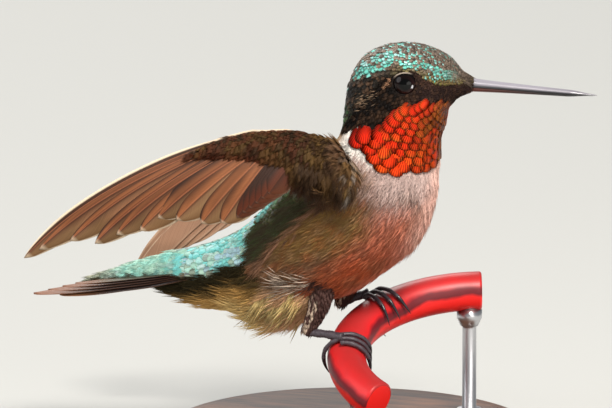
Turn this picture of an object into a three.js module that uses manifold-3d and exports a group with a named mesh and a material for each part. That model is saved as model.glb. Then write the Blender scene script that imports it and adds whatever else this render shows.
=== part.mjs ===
// A life-size ruby-throated hummingbird, gripping a short length of tube held on a display stand.
// Millimetres. +X is the way the trunk points, +Y the bird's left, +Z up. The origin is the middle
// of the stand's underside.
import * as THREE from 'three';
import { mergeVertices } from 'three/addons/utils/BufferGeometryUtils.js';
import Module from 'manifold-3d';

const wasm = await Module();
wasm.setup();

const rad = THREE.MathUtils.degToRad;
const { lerp, clamp, smoothstep } = THREE.MathUtils;
const vec = (x, y, z) => new THREE.Vector3(x, y, z);

// Driving dimensions.

const gap = 0.3; // clearance between neighbouring solids
const featherThickness = 0.55;
const featherStep = 0.1; // how far one flight feather lies over the next

// The plumage outline in side view, bill to tail: each row is one slanted section, with its top
// point, its bottom point and its half width.
const sections = [
  { top: [16.9, 53.1], bottom: [16.9, 51.3], half: 0.95 }, // bill base
  { top: [15.3, 54.2], bottom: [15.8, 50.8], half: 1.75 }, // lores
  { top: [13.2, 56.3], bottom: [14.6, 50.1], half: 3.2 }, // forehead, chin
  { top: [10.4, 57.5], bottom: [13.6, 49.0], half: 4.6 },
  { top: [7.5, 57.9], bottom: [13.1, 47.1], half: 5.4 }, // crown
  { top: [4.5, 57.4], bottom: [12.5, 44.9], half: 5.75 }, // eyes
  { top: [1.8, 55.8], bottom: [12.3, 41.9], half: 5.8 },
  { top: [0.1, 52.9], bottom: [12.0, 38.3], half: 5.8 }, // nape, throat
  { top: [-0.6, 49.4], bottom: [11.2, 34.1], half: 6.2 },
  { top: [-0.9, 46.8], bottom: [9.3, 30.2], half: 7.0 }, // neck base, breast
  { top: [-1.9, 44.6], bottom: [6.0, 27.0], half: 7.9 },
  { top: [-3.5, 42.8], bottom: [1.7, 23.8], half: 8.5 }, // shoulders, belly
  { top: [-5.7, 40.5], bottom: [-2.8, 21.7], half: 8.4 },
  { top: [-8.6, 37.7], bottom: [-7.1, 18.8], half: 7.6 },
  { top: [-12.2, 34.3], bottom: [-11.2, 17.7], half: 6.4 }, // rump, vent tuft
  { top: [-15.8, 31.3], bottom: [-15.9, 19.2], half: 5.2 },
  { top: [-20.6, 28.9], bottom: [-20.6, 20.0], half: 4.2 },
  { top: [-25.5, 27.4], bottom: [-24.4, 21.1], half: 3.4 }, // tail base
  { top: [-30.6, 25.5], bottom: [-28.6, 22.4], half: 2.7 },
  { top: [-36.2, 23.2], bottom: [-34.6, 22.0], half: 1.7 }, // tips of the tail coverts
];
const bodySteps = 28;
const bodySides = 16;
const sectionPower = 2.15; // 2 is an ellipse, more is squarer

// The head turns to the bird's left about an upright axis through the neck.
const headTurn = rad(14);
const neckAxisX = 4;

// Seams between the parts of the plumage, in side view, and the corners where they meet.
const corners = { nape: [-1.2, 46.9], shoulder: [3.2, 38.6], rump: [-12.2, 26.4], tailBase: [-18.6, 24.2] };
const gorgetEdge = [
  [20, 51.6], [15.6, 51.5], [12.8, 50.2], [9.4, 50.4], [6.2, 49.0], [3.6, 47.9], [1.0, 47.0], corners.nape,
];
const gorgetFoot = [
  corners.nape, [1.0, 45.6], [3.4, 43.5], [6.6, 41.6], [9.8, 41.3], [12.4, 41.6], [15, 42.2],
];
const seamNape = [[-6, 50.6], corners.nape];
const seamNeck = [[-8, 44.2], [-1.6, 43.2], corners.shoulder, [8.6, 36.0], [16, 34.6]];
const seamFlank = [
  corners.shoulder, [-1.6, 34.0], [-6.4, 29.6], corners.rump, corners.tailBase, [-25.4, 23.6], [-42, 22.6],
];
const seamBelly = [corners.shoulder, [1.0, 33.0], [2.4, 27.6], [6, 20]];
const seamRump = [[-12, 40], [-9.8, 31.2], corners.rump, [-8.2, 21.6], [-8.8, 14]];
const seamCoverts = [[-19, 34], corners.tailBase, [-18.8, 14]];

const eyeRadius = 1.75;
const eyePlace = { x: 8.0, y: 4.2, z: 53.13 };
const eyeSides = 12;

const billRoot = vec(16.2, 0, 52.2);
const billTip = vec(33.2, 0, 51.1);
const billHalfWidth = 0.98;
const billHalfHeight = 0.93;
const billLowerReach = 0.975; // the lower half's share of the length
const billMouthDrop = 0.12; // how far the mouth line lies under the middle

// Each wing is laid out in its own plane: l runs from the wrist to the tip, d from the leading edge
// to the trailing edge.
const wingSets = {
  right: {
    side: -1, wrist: vec(-5.7, -9.0, 47.05), sweep: rad(20), droop: 0, cant: rad(12), fan: 1,
  },
  left: {
    side: 1, wrist: vec(-6.0, 9.0, 42.0), sweep: rad(6), droop: rad(9.2), cant: rad(12), fan: 0.15,
  },
};
// The ten primaries, outermost first: how far each tip is from the wrist, and its angle below l.
const primaryReach = [38.9, 36.6, 32.4, 29.7, 26.6, 23.7, 20.8, 19.0, 16.9, 15.2];
const primaryAngle = [26.2, 26.0, 27.4, 30.9, 31.9, 34.8, 34.8, 39.6, 48.0, 55.5];
const primaryRoots = { outer: [5.2, 0.5], inner: [0.4, 1.7] };
const primaryWidth = { outer: 3.4, inner: 4.6 };
const leadingShare = { outer: 0.22, inner: 0.4 }; // part of a feather's width ahead of its shaft
const primaryBow = { outer: 4.7, inner: 0.5 }; // how far the shaft arches towards the leading edge
const secondaryCount = 6;
const secondaryRoots = { outer: [-0.4, 2.0], inner: [-2.0, 3.2] };
const secondaryTips = { outer: [6.6, 11.8], inner: [2.4, 8.6] };
const secondaryFold = { outer: [4.6, -3.4], inner: [2.0, -1.4] }; // how far a closed wing shifts the tips
const secondaryWidth = 3.4;
const secondaryBow = 0.4;
const wingCamber = 1.3; // how far the middle of the wing bulges towards its upper side
// The feathered arm and hand: where each section is, its two edges, half its thickness, and how far
// it is lifted towards the back.
const armSections = [
  { l: -9.4, lead: 5.2, trail: 8.6, half: 1.1, lift: 2.4 },
  { l: -7.6, lead: 2.6, trail: 9.2, half: 2.0, lift: 1.2 },
  { l: -5.6, lead: 1.0, trail: 8.9, half: 2.1, lift: 0.4 },
  { l: -3.0, lead: 0.2, trail: 7.8, half: 1.8, lift: 0 },
  { l: 0.0, lead: -0.1, trail: 6.4, half: 1.5, lift: 0 },
  { l: 4.5, lead: 0.2, trail: 4.7, half: 1.0, lift: 0 },
  { l: 9.0, lead: 1.4, trail: 3.9, half: 0.7, lift: 0 },
  { l: 13.0, lead: 3.0, trail: 3.9, half: 0.45, lift: 0 },
];

// The tail: five pairs of feathers, the middle pair first. lean tips the whole tail to the left.
const tail = {
  root: vec(-19.5, 0, 25.2), lean: rad(9), width: 4.4, offsetInner: 1.3, offsetStep: 0.22, dropStep: 0.16,
  lengths: [19.2, 20.9, 22.8, 24.7, 20.8],
  pitches: [10.2, 10.3, 10.5, 10.7, 11.8].map(rad),
  spreads: [1.4, 1.9, 2.4, 3.0, 4.4].map(rad),
  rollInner: rad(6), rollOuter: rad(20),
};

// The gripped tube is an arc of an ellipse in a plane that rises to the far side.
const perch = {
  centre: vec(19.1, 1.2, 15.6), radiusAcross: 18.8, radiusAway: 15, turn: rad(20), rise: rad(24.5),
  from: rad(92), to: rad(219), tube: 2.6, sides: 10, steps: 14,
};
const stand = {
  baseRadius: 25, baseHeight: 5, baseEdge: 1.2, baseFoot: 0.6, baseSides: 32,
  rodRadius: 0.95, cupRadius: 1.7, cupHeight: 2.4, cupFlare: 1.32, cupLip: 0.8,
  socketDepth: 2.5, frontAt: rad(207), rearAt: rad(97),
};

// Each leg: where the foot is round the perch, how far back its grip is turned, and its joints.
const legs = {
  right: { at: rad(179), back: rad(-10), hip: vec(-2.2, -3.8, 26.0), heel: vec(-4.3, -5.0, 18.6) },
  left: { at: rad(138), back: rad(-38), hip: vec(-1.4, 3.6, 26.0), heel: vec(-3.0, 4.6, 20.6) },
};
const thighRadius = { hip: 2.3, heel: 0.95 };
const shankRadius = 0.42;
const shankSwell = 0.12; // how much thicker the shank is at the foot
const toeRadius = 0.36;
const toeSpread = rad(7);
const toeOffset = 0.88;
const toeWrap = { from: rad(10), to: rad(84), claw: rad(134) };
const clawRadius = { root: 0.3, tip: 0.1 };

// Building blocks.

// A closed mesh through a row of rings, each an array of points going the same way round.
function loft(rings) {
  const n = rings[0].length;
  const points = rings.flat();
  const middles = [rings[0], rings[rings.length - 1]].map((ring) =>
    ring.reduce((sum, p) => sum.add(p), vec(0, 0, 0)).divideScalar(n));
  const index = [];
  for (let i = 0; i + 1 < rings.length; i++) {
    for (let j = 0; j < n; j++) {
      const a = i * n + j;
      const b = i * n + ((j + 1) % n);
      index.push(a, b, a + n, b, b + n, a + n);
    }
  }
  const last = (rings.length - 1) * n;
  for (let j = 0; j < n; j++) {
    const k = (j + 1) % n;
    index.push(points.length, k, j);
    index.push(points.length + 1, last + j, last + k);
  }
  const geometry = new THREE.BufferGeometry().setFromPoints([...points, ...middles]);
  geometry.setIndex(index);
  return geometry;
}

function solidOf(geometry) {
  const bare = geometry.clone();
  bare.deleteAttribute('normal');
  bare.deleteAttribute('uv');
  const merged = mergeVertices(bare, 1e-4);
  const mesh = new wasm.Mesh({
    numProp: 3,
    vertProperties: new Float32Array(merged.attributes.position.array),
    triVerts: new Uint32Array(merged.index.array),
  });
  const solid = new wasm.Manifold(mesh);
  return solid.volume() < 0 ? solidOf(flipped(merged)) : solid;
}

function flipped(geometry) {
  const turned = geometry.clone();
  const index = Array.from(geometry.index.array);
  for (let i = 0; i < index.length; i += 3) [index[i], index[i + 1]] = [index[i + 1], index[i]];
  turned.setIndex(index);
  return turned;
}

// The geometry of a solid's largest body: the chips that a cut leaves at a thin edge are dropped.
function geometryOf(solid) {
  const { vertProperties, triVerts } = solid.getMesh();
  const parent = Array.from({ length: vertProperties.length / 3 }, (_, i) => i);
  const rootOf = (i) => {
    let at = i;
    while (parent[at] !== at) at = parent[at];
    parent[i] = at;
    return at;
  };
  for (let i = 0; i < triVerts.length; i += 3) {
    parent[rootOf(triVerts[i])] = rootOf(triVerts[i + 1]);
    parent[rootOf(triVerts[i + 1])] = rootOf(triVerts[i + 2]);
  }
  const sizes = new Map();
  for (const v of triVerts) sizes.set(rootOf(v), (sizes.get(rootOf(v)) ?? 0) + 1);
  const [largest] = [...sizes].sort((a, b) => b[1] - a[1])[0];
  const kept = Array.from(triVerts).filter((v) => rootOf(v) === largest);
  const geometry = new THREE.BufferGeometry();
  geometry.setAttribute('position', new THREE.BufferAttribute(new Float32Array(vertProperties), 3));
  geometry.setIndex(kept);
  return geometry;
}

const joined = (solids) => solids.reduce((whole, solid) => whole.add(solid));

// A ring of points round a centre, across two directions, each with its own half size.
function ring(centre, across, up, halfAcross, halfUp, sides, power = 2) {
  return Array.from({ length: sides }, (_, i) => {
    const angle = (i / sides) * 2 * Math.PI;
    const c = Math.cos(angle);
    const s = Math.sin(angle);
    return centre.clone()
      .addScaledVector(up, Math.sign(c) * Math.abs(c) ** (2 / power) * halfUp)
      .addScaledVector(across, Math.sign(s) * Math.abs(s) ** (2 / power) * halfAcross);
  });
}

// A round bar along a curve, its radius given along the way.
function bar(curve, radiusAt, sides, steps) {
  const frames = curve.computeFrenetFrames(steps, false);
  const rings = [];
  for (let i = 0; i <= steps; i++) {
    const t = i / steps;
    const r = radiusAt(t);
    rings.push(ring(curve.getPointAt(t), frames.normals[i], frames.binormals[i], r, r, sides));
  }
  return loft(rings);
}

// Plumage of head and trunk.

const flat = ([x, z]) => vec(x, 0, z);
const topLine = new THREE.CatmullRomCurve3(sections.map((s) => flat(s.top)), false, 'centripetal');
const bottomLine = new THREE.CatmullRomCurve3(sections.map((s) => flat(s.bottom)), false, 'centripetal');
const halfLine = new THREE.CatmullRomCurve3(sections.map((s, i) => vec(i, s.half, 0)), false, 'centripetal');

function bodyRing(t, grow) {
  const top = topLine.getPoint(t);
  const bottom = bottomLine.getPoint(t);
  const centre = top.clone().add(bottom).multiplyScalar(0.5);
  const up = top.clone().sub(centre);
  const halfUp = up.length();
  const halfAcross = halfLine.getPoint(t).y + grow;
  return ring(centre, vec(0, -1, 0), up.normalize(), halfAcross, halfUp + grow, bodySides, sectionPower);
}

function body(grow = 0) {
  return solidOf(loft(Array.from({ length: bodySteps + 1 }, (_, i) => bodyRing(i / bodySteps, grow))));
}

function turnHead(geometry) {
  const place = geometry.attributes.position;
  for (let i = 0; i < place.count; i++) {
    const [x, y, z] = [place.getX(i), place.getY(i), place.getZ(i)];
    const turn = headTurn * smoothstep((z - (42 - x)) / (7.4 + 0.38 * Math.max(x, -4)), 0, 1);
    place.setX(i, neckAxisX + (x - neckAxisX) * Math.cos(turn) - y * Math.sin(turn));
    place.setY(i, (x - neckAxisX) * Math.sin(turn) + y * Math.cos(turn));
  }
  return geometry;
}

const seamReach = 14; // half length of the cutters across the body

// A side-view outline pushed through the body from side to side.
function across(outline) {
  const shape = new THREE.Shape(outline.map(([x, z]) => new THREE.Vector2(x, z)));
  const block = new THREE.ExtrudeGeometry(shape, { depth: 2 * seamReach, bevelEnabled: false });
  block.rotateX(Math.PI / 2);
  block.translate(0, seamReach, 0);
  return solidOf(block);
}

// A thin wall along a side-view line, as wide as the gap.
function wall(line) {
  const points = line.map(([x, z]) => new THREE.Vector2(x, z));
  const left = [];
  const right = [];
  points.forEach((p, i) => {
    const before = points[Math.max(i - 1, 0)];
    const after = points[Math.min(i + 1, points.length - 1)];
    const along = after.clone().sub(before).normalize();
    const aside = new THREE.Vector2(-along.y, along.x).multiplyScalar(gap / 2);
    left.push(p.clone().add(aside));
    right.unshift(p.clone().sub(aside));
  });
  return across([...left, ...right].map((p) => [p.x, p.y]));
}

// Wings.

function wingPlane(wing) {
  const out = vec(0, wing.side, 0);
  const level = vec(-Math.cos(wing.sweep), 0, 0).addScaledVector(out, Math.sin(wing.sweep));
  const down = vec(Math.sin(wing.sweep), 0, 0).addScaledVector(out, Math.cos(wing.sweep))
    .multiplyScalar(Math.sin(wing.cant)).add(vec(0, 0, -Math.cos(wing.cant)));
  const upper = new THREE.Vector3().crossVectors(level, down).multiplyScalar(-wing.side).normalize();
  const along = level.applyAxisAngle(upper, -wing.droop * wing.side);
  const chord = down.applyAxisAngle(upper, -wing.droop * wing.side);
  return { along, chord, upper };
}

function onWing(wing, frame, l, d, lift) {
  const bulge = wingCamber * Math.sin(Math.PI * clamp(d / 13, 0, 1)) * smoothstep(l, -6, 6);
  return wing.wrist.clone()
    .addScaledVector(frame.along, l)
    .addScaledVector(frame.chord, d)
    .addScaledVector(frame.upper, lift + bulge);
}

// One flight feather as a thin bar with square edges, along a bowed shaft.
function flightFeather(wing, frame, root, tip, bow, width, share, lift, grow) {
  const steps = 5;
  const run = new THREE.Vector2(tip[0] - root[0], tip[1] - root[1]);
  const aside = new THREE.Vector2(run.y, -run.x).normalize();
  const middle = new THREE.Vector2(root[0], root[1]).addScaledVector(run, 0.6).addScaledVector(aside, bow);
  const shaft = new THREE.QuadraticBezierCurve(
    new THREE.Vector2(...root), middle, new THREE.Vector2(...tip),
  );
  const rings = [];
  for (let i = 0; i <= steps; i++) {
    const t = i / steps;
    const p = shaft.getPoint(t);
    const along = shaft.getTangent(t);
    const rounding = 1 - 0.86 * clamp((t - 0.68) / 0.32, 0, 1) ** 2.2;
    const full = width * (0.35 + 0.65 * smoothstep(t, 0, 0.3)) * rounding;
    const ahead = full * share + grow;
    const behind = full * (1 - share) + grow;
    const thick = featherThickness / 2 + grow;
    const side = [along.y, -along.x];
    const at = (s, h) => onWing(wing, frame, p.x + side[0] * s, p.y + side[1] * s, lift + h);
    rings.push([at(-behind, -thick), at(ahead, -thick), at(ahead, thick), at(-behind, thick)]);
  }
  return solidOf(loft(rings));
}

function primary(wing, frame, i, grow = 0) {
  const part = i / 9;
  const angle = rad(lerp(primaryAngle[0], primaryAngle[i], wing.fan));
  const root = [0, 1].map((k) => lerp(primaryRoots.outer[k], primaryRoots.inner[k], part));
  const tip = [Math.cos(angle) * primaryReach[i], Math.sin(angle) * primaryReach[i]];
  const bow = lerp(primaryBow.outer, primaryBow.inner, part ** 0.7);
  const width = lerp(primaryWidth.outer, primaryWidth.inner, part);
  const share = lerp(leadingShare.outer, leadingShare.inner, part);
  return flightFeather(wing, frame, root, tip, bow, width, share, -featherStep * (9 - i), grow);
}

function secondary(wing, frame, i, grow = 0) {
  const part = i / (secondaryCount - 1);
  const root = [0, 1].map((k) => lerp(secondaryRoots.outer[k], secondaryRoots.inner[k], part));
  const tip = [0, 1].map((k) => lerp(secondaryTips.outer[k], secondaryTips.inner[k], part)
    + (1 - wing.fan) * lerp(secondaryFold.outer[k], secondaryFold.inner[k], part));
  const lift = featherStep * (i + 1);
  return flightFeather(wing, frame, root, tip, secondaryBow, secondaryWidth, leadingShare.inner, lift, grow);
}

// The feathered arm and hand with their coverts: thick at the leading edge, thin at the covert tips.
function wingArm(wing, frame, grow = 0) {
  const steps = 12;
  const lines = ['lead', 'trail', 'half', 'lift'].map((key) =>
    new THREE.CatmullRomCurve3(armSections.map((a) => vec(a.l, a[key], 0)), false, 'centripetal'));
  const rings = [];
  for (let i = 0; i <= steps; i++) {
    const [lead, trail, half, lift] = lines.map((line) => line.getPoint(i / steps));
    const middle = onWing(wing, frame, lead.x, (lead.y + trail.y) / 2, lift.y);
    rings.push(ring(middle, frame.chord, frame.upper, (trail.y - lead.y) / 2 + grow, half.y + grow, 10, 2.3));
  }
  return solidOf(loft(rings));
}

// Tail.

function rectrix(side, pair, grow = 0) {
  const steps = 4;
  const length = tail.lengths[pair];
  const pitch = tail.pitches[pair];
  const spread = tail.spreads[pair] * side;
  const roll = lerp(tail.rollInner, tail.rollOuter, pair / (tail.lengths.length - 1)) * side;
  const leaned = (v) => v.applyAxisAngle(vec(1, 0, 0), -tail.lean);
  const rings = [];
  for (let i = 0; i <= steps; i++) {
    const t = i / steps;
    const rounding = 1 - 0.85 * clamp((t - 0.6) / 0.4, 0, 1) ** 2;
    const half = (tail.width / 2) * (0.4 + 0.6 * smoothstep(t, 0, 0.35)) * rounding;
    const run = length * t;
    const middle = leaned(vec(
      -run * Math.cos(pitch) * Math.cos(spread),
      side * (tail.offsetInner + tail.offsetStep * pair) + run * Math.sin(spread),
      -run * Math.sin(pitch) - tail.dropStep * pair,
    )).add(tail.root);
    const out = leaned(vec(0, Math.cos(roll), -Math.sin(roll)));
    const up = leaned(vec(0, Math.sin(roll), Math.cos(roll)));
    const thick = featherThickness / 2 + grow;
    const edge = half + grow;
    const at = (s, h) => middle.clone().addScaledVector(out, s * side).addScaledVector(up, h);
    rings.push([at(-edge, -thick), at(edge, -thick), at(edge, thick), at(-edge, thick)]);
  }
  return solidOf(loft(rings));
}

// Perch, legs and feet.

function perchFrame(angle) {
  const acrossWay = vec(Math.cos(perch.turn), Math.sin(perch.turn), 0);
  const level = vec(-Math.sin(perch.turn), Math.cos(perch.turn), 0);
  const awayWay = level.multiplyScalar(Math.cos(perch.rise)).add(vec(0, 0, Math.sin(perch.rise)));
  const centre = perch.centre.clone()
    .addScaledVector(acrossWay, perch.radiusAcross * Math.cos(angle))
    .addScaledVector(awayWay, perch.radiusAway * Math.sin(angle));
  const along = acrossWay.clone().multiplyScalar(-perch.radiusAcross * Math.sin(angle))
    .addScaledVector(awayWay, perch.radiusAway * Math.cos(angle)).normalize();
  const up = vec(0, 0, 1).addScaledVector(along, -along.z).normalize();
  const ahead = new THREE.Vector3().crossVectors(along, up).normalize();
  if (ahead.x < 0) ahead.negate();
  return { centre, along, up, ahead };
}

function perchTube(grow = 0) {
  const rings = [];
  for (let i = 0; i <= perch.steps; i++) {
    const at = perchFrame(lerp(perch.from, perch.to, i / perch.steps));
    const radius = perch.tube + grow;
    rings.push(ring(at.centre, at.ahead, at.up, radius, radius, perch.sides));
  }
  return solidOf(loft(rings));
}

// A toe or claw bent round the tube: way 1 goes to the front, spread slants it along the tube.
function gripArc(leg, way, spread, offset, wrapFrom, wrapTo, radiusFrom, radiusTo, lift, steps) {
  const at = perchFrame(leg.at);
  const points = [];
  for (let i = 0; i <= steps; i++) {
    const wrap = lerp(wrapFrom, wrapTo, i / steps);
    const angle = leg.back + way * wrap;
    const reach = perch.tube + gap + toeRadius + lift * (i / steps) ** 2;
    points.push(at.centre.clone()
      .addScaledVector(at.up, reach * Math.cos(angle))
      .addScaledVector(at.ahead, reach * Math.sin(angle))
      .addScaledVector(at.along, offset + reach * wrap * Math.tan(spread)));
  }
  const curve = new THREE.CatmullRomCurve3(points, false, 'centripetal');
  return solidOf(bar(curve, (t) => lerp(radiusFrom, radiusTo, t), 5, steps));
}

// Assembly.

const bird = new THREE.Group();
bird.name = 'ruby_throated_hummingbird';

const colours = {
  crown: 0x4c6a52, gorget: 0xc22a12, collar: 0xd9d3c8, back: 0x4d5a2a, breast: 0xb79a8c, belly: 0x8a4f30,
  rump: 0x3fb8b4, vent: 0xb08a4c, wing: 0x6b3a24, wingArm: 0x4a3a22, tail: 0x2a2024, bill: 0x1c1e24,
  eye: 0x0b0807, leg: 0x4a3c3e, foot: 0x37303c, claw: 0x1d1a20,
  perch: 0xb80f18, base: 0x3a2114, rod: 0xb9bcc0,
};

function put(name, geometry, colour, roughness = 0.7, metalness = 0) {
  const finish = new THREE.MeshStandardMaterial({ color: colour, roughness, metalness });
  const mesh = new THREE.Mesh(geometry, finish);
  mesh.name = name;
  bird.add(mesh);
}

const wholeBody = body();
const clearBody = body(gap);

// Plumage regions of head, neck and trunk, each an outline along its seams that closes outside the
// plumage.
const allSeams = [gorgetEdge, gorgetFoot, seamNape, seamNeck, seamFlank, seamBelly, seamRump, seamCoverts];
const seams = joined(allSeams.map(wall));
const back = (line) => [...line].reverse();
const regions = {
  head: [[...seamNape, ...back(gorgetEdge), [24, 51.6], [24, 62], [-6, 62]], colours.crown],
  gorget: [[...gorgetEdge, ...gorgetFoot.slice(1), [20, 44]], colours.gorget],
  neck: [[...seamNape, ...gorgetFoot.slice(1), [20, 42.2], [20, 34.6], ...back(seamNeck)], colours.collar],
  breast: [[...seamNeck.slice(2), [16, 20], ...back(seamBelly.slice(1))], colours.breast],
  back: [[...seamNeck.slice(0, 3), ...seamFlank.slice(1, 4), ...back(seamRump.slice(0, 2))], colours.back],
  belly: [[...seamBelly, [6, 14], ...back(seamRump.slice(2)), ...back(seamFlank.slice(1, 3))], colours.belly],
  rump: [[...seamRump.slice(0, 3), ...back(seamCoverts.slice(0, 2)), [-19, 40]], colours.rump],
  vent: [[corners.rump, ...seamCoverts.slice(1), ...back(seamRump.slice(3))], colours.vent],
  uppertail_coverts: [[...seamCoverts.slice(0, 2), ...seamFlank.slice(5), [-42, 34]], colours.rump],
  undertail_coverts: [[...seamFlank.slice(4), [-42, 14], seamCoverts[2]], colours.vent],
};
const eyeballs = (radius) => [-1, 1].map((side) => {
  const ball = new THREE.SphereGeometry(radius, eyeSides, eyeSides - 4);
  ball.translate(eyePlace.x, side * eyePlace.y, eyePlace.z);
  return solidOf(ball);
});
const [eyeRight, eyeLeft] = eyeballs(eyeRadius);
const eyeSockets = joined(eyeballs(eyeRadius + gap));

function billHalf(upper, grow = 0) {
  const steps = 7;
  const reach = upper ? 1 : billLowerReach;
  const along = billTip.clone().sub(billRoot);
  const up = vec(-along.z, 0, along.x).normalize();
  const rings = [];
  for (let i = 0; i <= steps; i++) {
    const t = i / steps;
    const centre = billRoot.clone().addScaledVector(along, t * reach);
    const taper = lerp(1, 0.36, t ** 0.8) * (1 - 0.62 * smoothstep(t, 0.93, 1));
    const halfUp = billHalfHeight * taper + grow;
    const halfAcross = billHalfWidth * taper + grow;
    rings.push(ring(centre, vec(0, 1, 0), up, halfAcross, halfUp, 10));
  }
  return solidOf(loft(rings));
}
function billBlock(upper) {
  const reach = 4; // well past the bill, up, down and lengthways
  const low = upper ? -billMouthDrop : -reach;
  const high = upper ? reach : -billMouthDrop - gap * 0.8;
  const [start, end] = [billRoot.x - reach, billTip.x + reach];
  return across([
    [start, billRoot.z + low], [end, billTip.z + low], [end, billTip.z + high], [start, billRoot.z + high],
  ]);
}
const billUpper = billHalf(true).intersect(billBlock(true)).subtract(clearBody);
const billLower = billHalf(false).intersect(billBlock(false)).subtract(clearBody);

// Thighs, cut clear of the trunk.
function thigh(leg, grow = 0) {
  const curve = new THREE.CatmullRomCurve3([
    leg.hip, leg.hip.clone().lerp(leg.heel, 0.55).add(vec(0.5, 0, 0.2)), leg.heel,
  ], false, 'centripetal');
  return solidOf(bar(curve, (t) => lerp(thighRadius.hip, thighRadius.heel, t ** 0.8) + grow, 8, 4));
}

for (const [name, [outline, colour]] of Object.entries(regions)) {
  let piece = wholeBody.intersect(across(outline)).subtract(seams);
  if (name === 'head') piece = piece.subtract(eyeSockets);
  put(name, turnHead(geometryOf(piece)), colour);
}
put('eye_right', turnHead(geometryOf(eyeRight)), colours.eye, 0.1);
put('eye_left', turnHead(geometryOf(eyeLeft)), colours.eye, 0.1);
put('bill_upper', turnHead(geometryOf(billUpper)), colours.bill, 0.3);
put('bill_lower', turnHead(geometryOf(billLower)), colours.bill, 0.3);

for (const [sideName, wing] of Object.entries(wingSets)) {
  const frame = wingPlane(wing);
  const arm = wingArm(wing, frame).subtract(clearBody);
  const armClear = wingArm(wing, frame, gap);
  const primaries = joined(primaryReach.map((_, i) => primary(wing, frame, i)));
  const innermost = [6, 7, 8, 9]; // the primaries next to the secondaries
  const innerClear = joined(innermost.map((i) => primary(wing, frame, i, gap)));
  const secondaries = joined(
    Array.from({ length: secondaryCount }, (_, i) => secondary(wing, frame, i)),
  );
  put(`wing_${sideName}_arm`, geometryOf(arm), colours.wingArm);
  put(`wing_${sideName}_primaries`,
    geometryOf(primaries.subtract(armClear).subtract(clearBody)), colours.wing);
  put(`wing_${sideName}_secondaries`,
    geometryOf(secondaries.subtract(innerClear).subtract(armClear).subtract(clearBody)), colours.wing);
}

for (const [sideName, side] of [['right', -1], ['left', 1]]) {
  const half = joined(tail.lengths.map((_, pair) => rectrix(side, pair)));
  const sideBox = new THREE.BoxGeometry(80, 20, 80); // all that lies on this side of the middle
  sideBox.translate(-30, side * (10 + gap / 2), 30);
  put(`tail_${sideName}`, geometryOf(half.intersect(solidOf(sideBox)).subtract(clearBody)), colours.tail);
}

const clearPerch = perchTube(gap * 0.9);
put('perch', geometryOf(perchTube()), colours.perch, 0.15);

for (const [sideName, leg] of Object.entries(legs)) {
  const at = perchFrame(leg.at);
  const footReach = perch.tube + gap + toeRadius + 0.35;
  const foot = at.centre.clone()
    .addScaledVector(at.up, footReach * Math.cos(leg.back))
    .addScaledVector(at.ahead, footReach * Math.sin(leg.back));
  const shankLine = [leg.heel, leg.heel.clone().lerp(foot, 0.5), foot];
  const shankCurve = new THREE.CatmullRomCurve3(shankLine, false, 'centripetal');
  const shankRadiusAt = (t) => shankRadius + shankSwell * smoothstep(t, 0.75, 1);
  const shank = (grow) => solidOf(bar(shankCurve, (t) => shankRadiusAt(t) + grow, 6, 4));
  put(`thigh_${sideName}`, geometryOf(thigh(leg).subtract(clearBody)), colours.leg);
  put(`shank_${sideName}`, geometryOf(shank(0).subtract(thigh(leg, gap)).subtract(clearPerch)), colours.foot);
  const shankClear = shank(gap / 2);
  const toes = { outer: [1, -1], middle: [1, 0], inner: [1, 1], hind: [-1, 0] };
  for (const [toeName, [way, slant]] of Object.entries(toes)) {
    const lie = [leg, way, slant * toeSpread, slant * toeOffset];
    const toe = gripArc(...lie, toeWrap.from, toeWrap.to, toeRadius, toeRadius * 0.85, 0, 4);
    const claw = gripArc(...lie, toeWrap.to + rad(5), toeWrap.claw, clawRadius.root, clawRadius.tip, 0.5, 3);
    put(`toe_${sideName}_${toeName}`, geometryOf(toe.subtract(shankClear)), colours.foot);
    put(`claw_${sideName}_${toeName}`, geometryOf(claw), colours.claw);
  }
}

// Stand.

const rodPlaces = {
  front: perchFrame(stand.frontAt).centre,
  rear: perchFrame(stand.rearAt).centre,
};

function rod(place, grow = 0) {
  const { rodRadius, cupRadius, cupHeight, cupFlare, cupLip, baseHeight, socketDepth } = stand;
  const foot = baseHeight - socketDepth + gap - grow;
  const head = place.z - perch.tube; // the underside of the tube
  const profile = [
    [0, foot], [rodRadius + grow, foot], [rodRadius + grow, head - cupHeight],
    [cupRadius + grow, head - cupHeight + cupFlare], [cupRadius + grow, head + cupLip], [0, head + cupLip],
  ];
  const turned = new THREE.LatheGeometry(profile.map(([x, y]) => new THREE.Vector2(x, y)), 10);
  turned.rotateX(Math.PI / 2);
  turned.translate(place.x, place.y, 0);
  return solidOf(turned);
}

const { baseRadius, baseHeight, baseEdge, baseFoot, baseSides } = stand;
const baseProfile = [
  [0, 0], [baseRadius - baseFoot, 0], [baseRadius, baseFoot], [baseRadius, baseHeight - baseEdge],
  [baseRadius - baseEdge, baseHeight], [0, baseHeight],
];
const baseDisc = new THREE.LatheGeometry(baseProfile.map(([x, y]) => new THREE.Vector2(x, y)), baseSides);
baseDisc.rotateX(Math.PI / 2);
const rodHoles = joined(Object.values(rodPlaces).map((place) => rod(place, gap)));
put('stand_base', geometryOf(solidOf(baseDisc).subtract(rodHoles)), colours.base, 0.5);
for (const [rodName, place] of Object.entries(rodPlaces)) {
  put(`stand_rod_${rodName}`, geometryOf(rod(place).subtract(clearPerch)), colours.rod, 0.3, 0.9);
}

export default bird;
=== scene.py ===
# A ruby-throated hummingbird gripping a cut length of red tube on a display stand, at life size.
# Lengths are in millimetres until a mesh is written. +X is the way the trunk points, +Y the bird's
# left and +Z up; the origin is the middle of the stand's underside.
import math
import bmesh
import bpy
import numpy as np
from mathutils import Matrix
from mathutils.bvhtree import BVHTree
from mathutils.kdtree import KDTree


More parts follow.
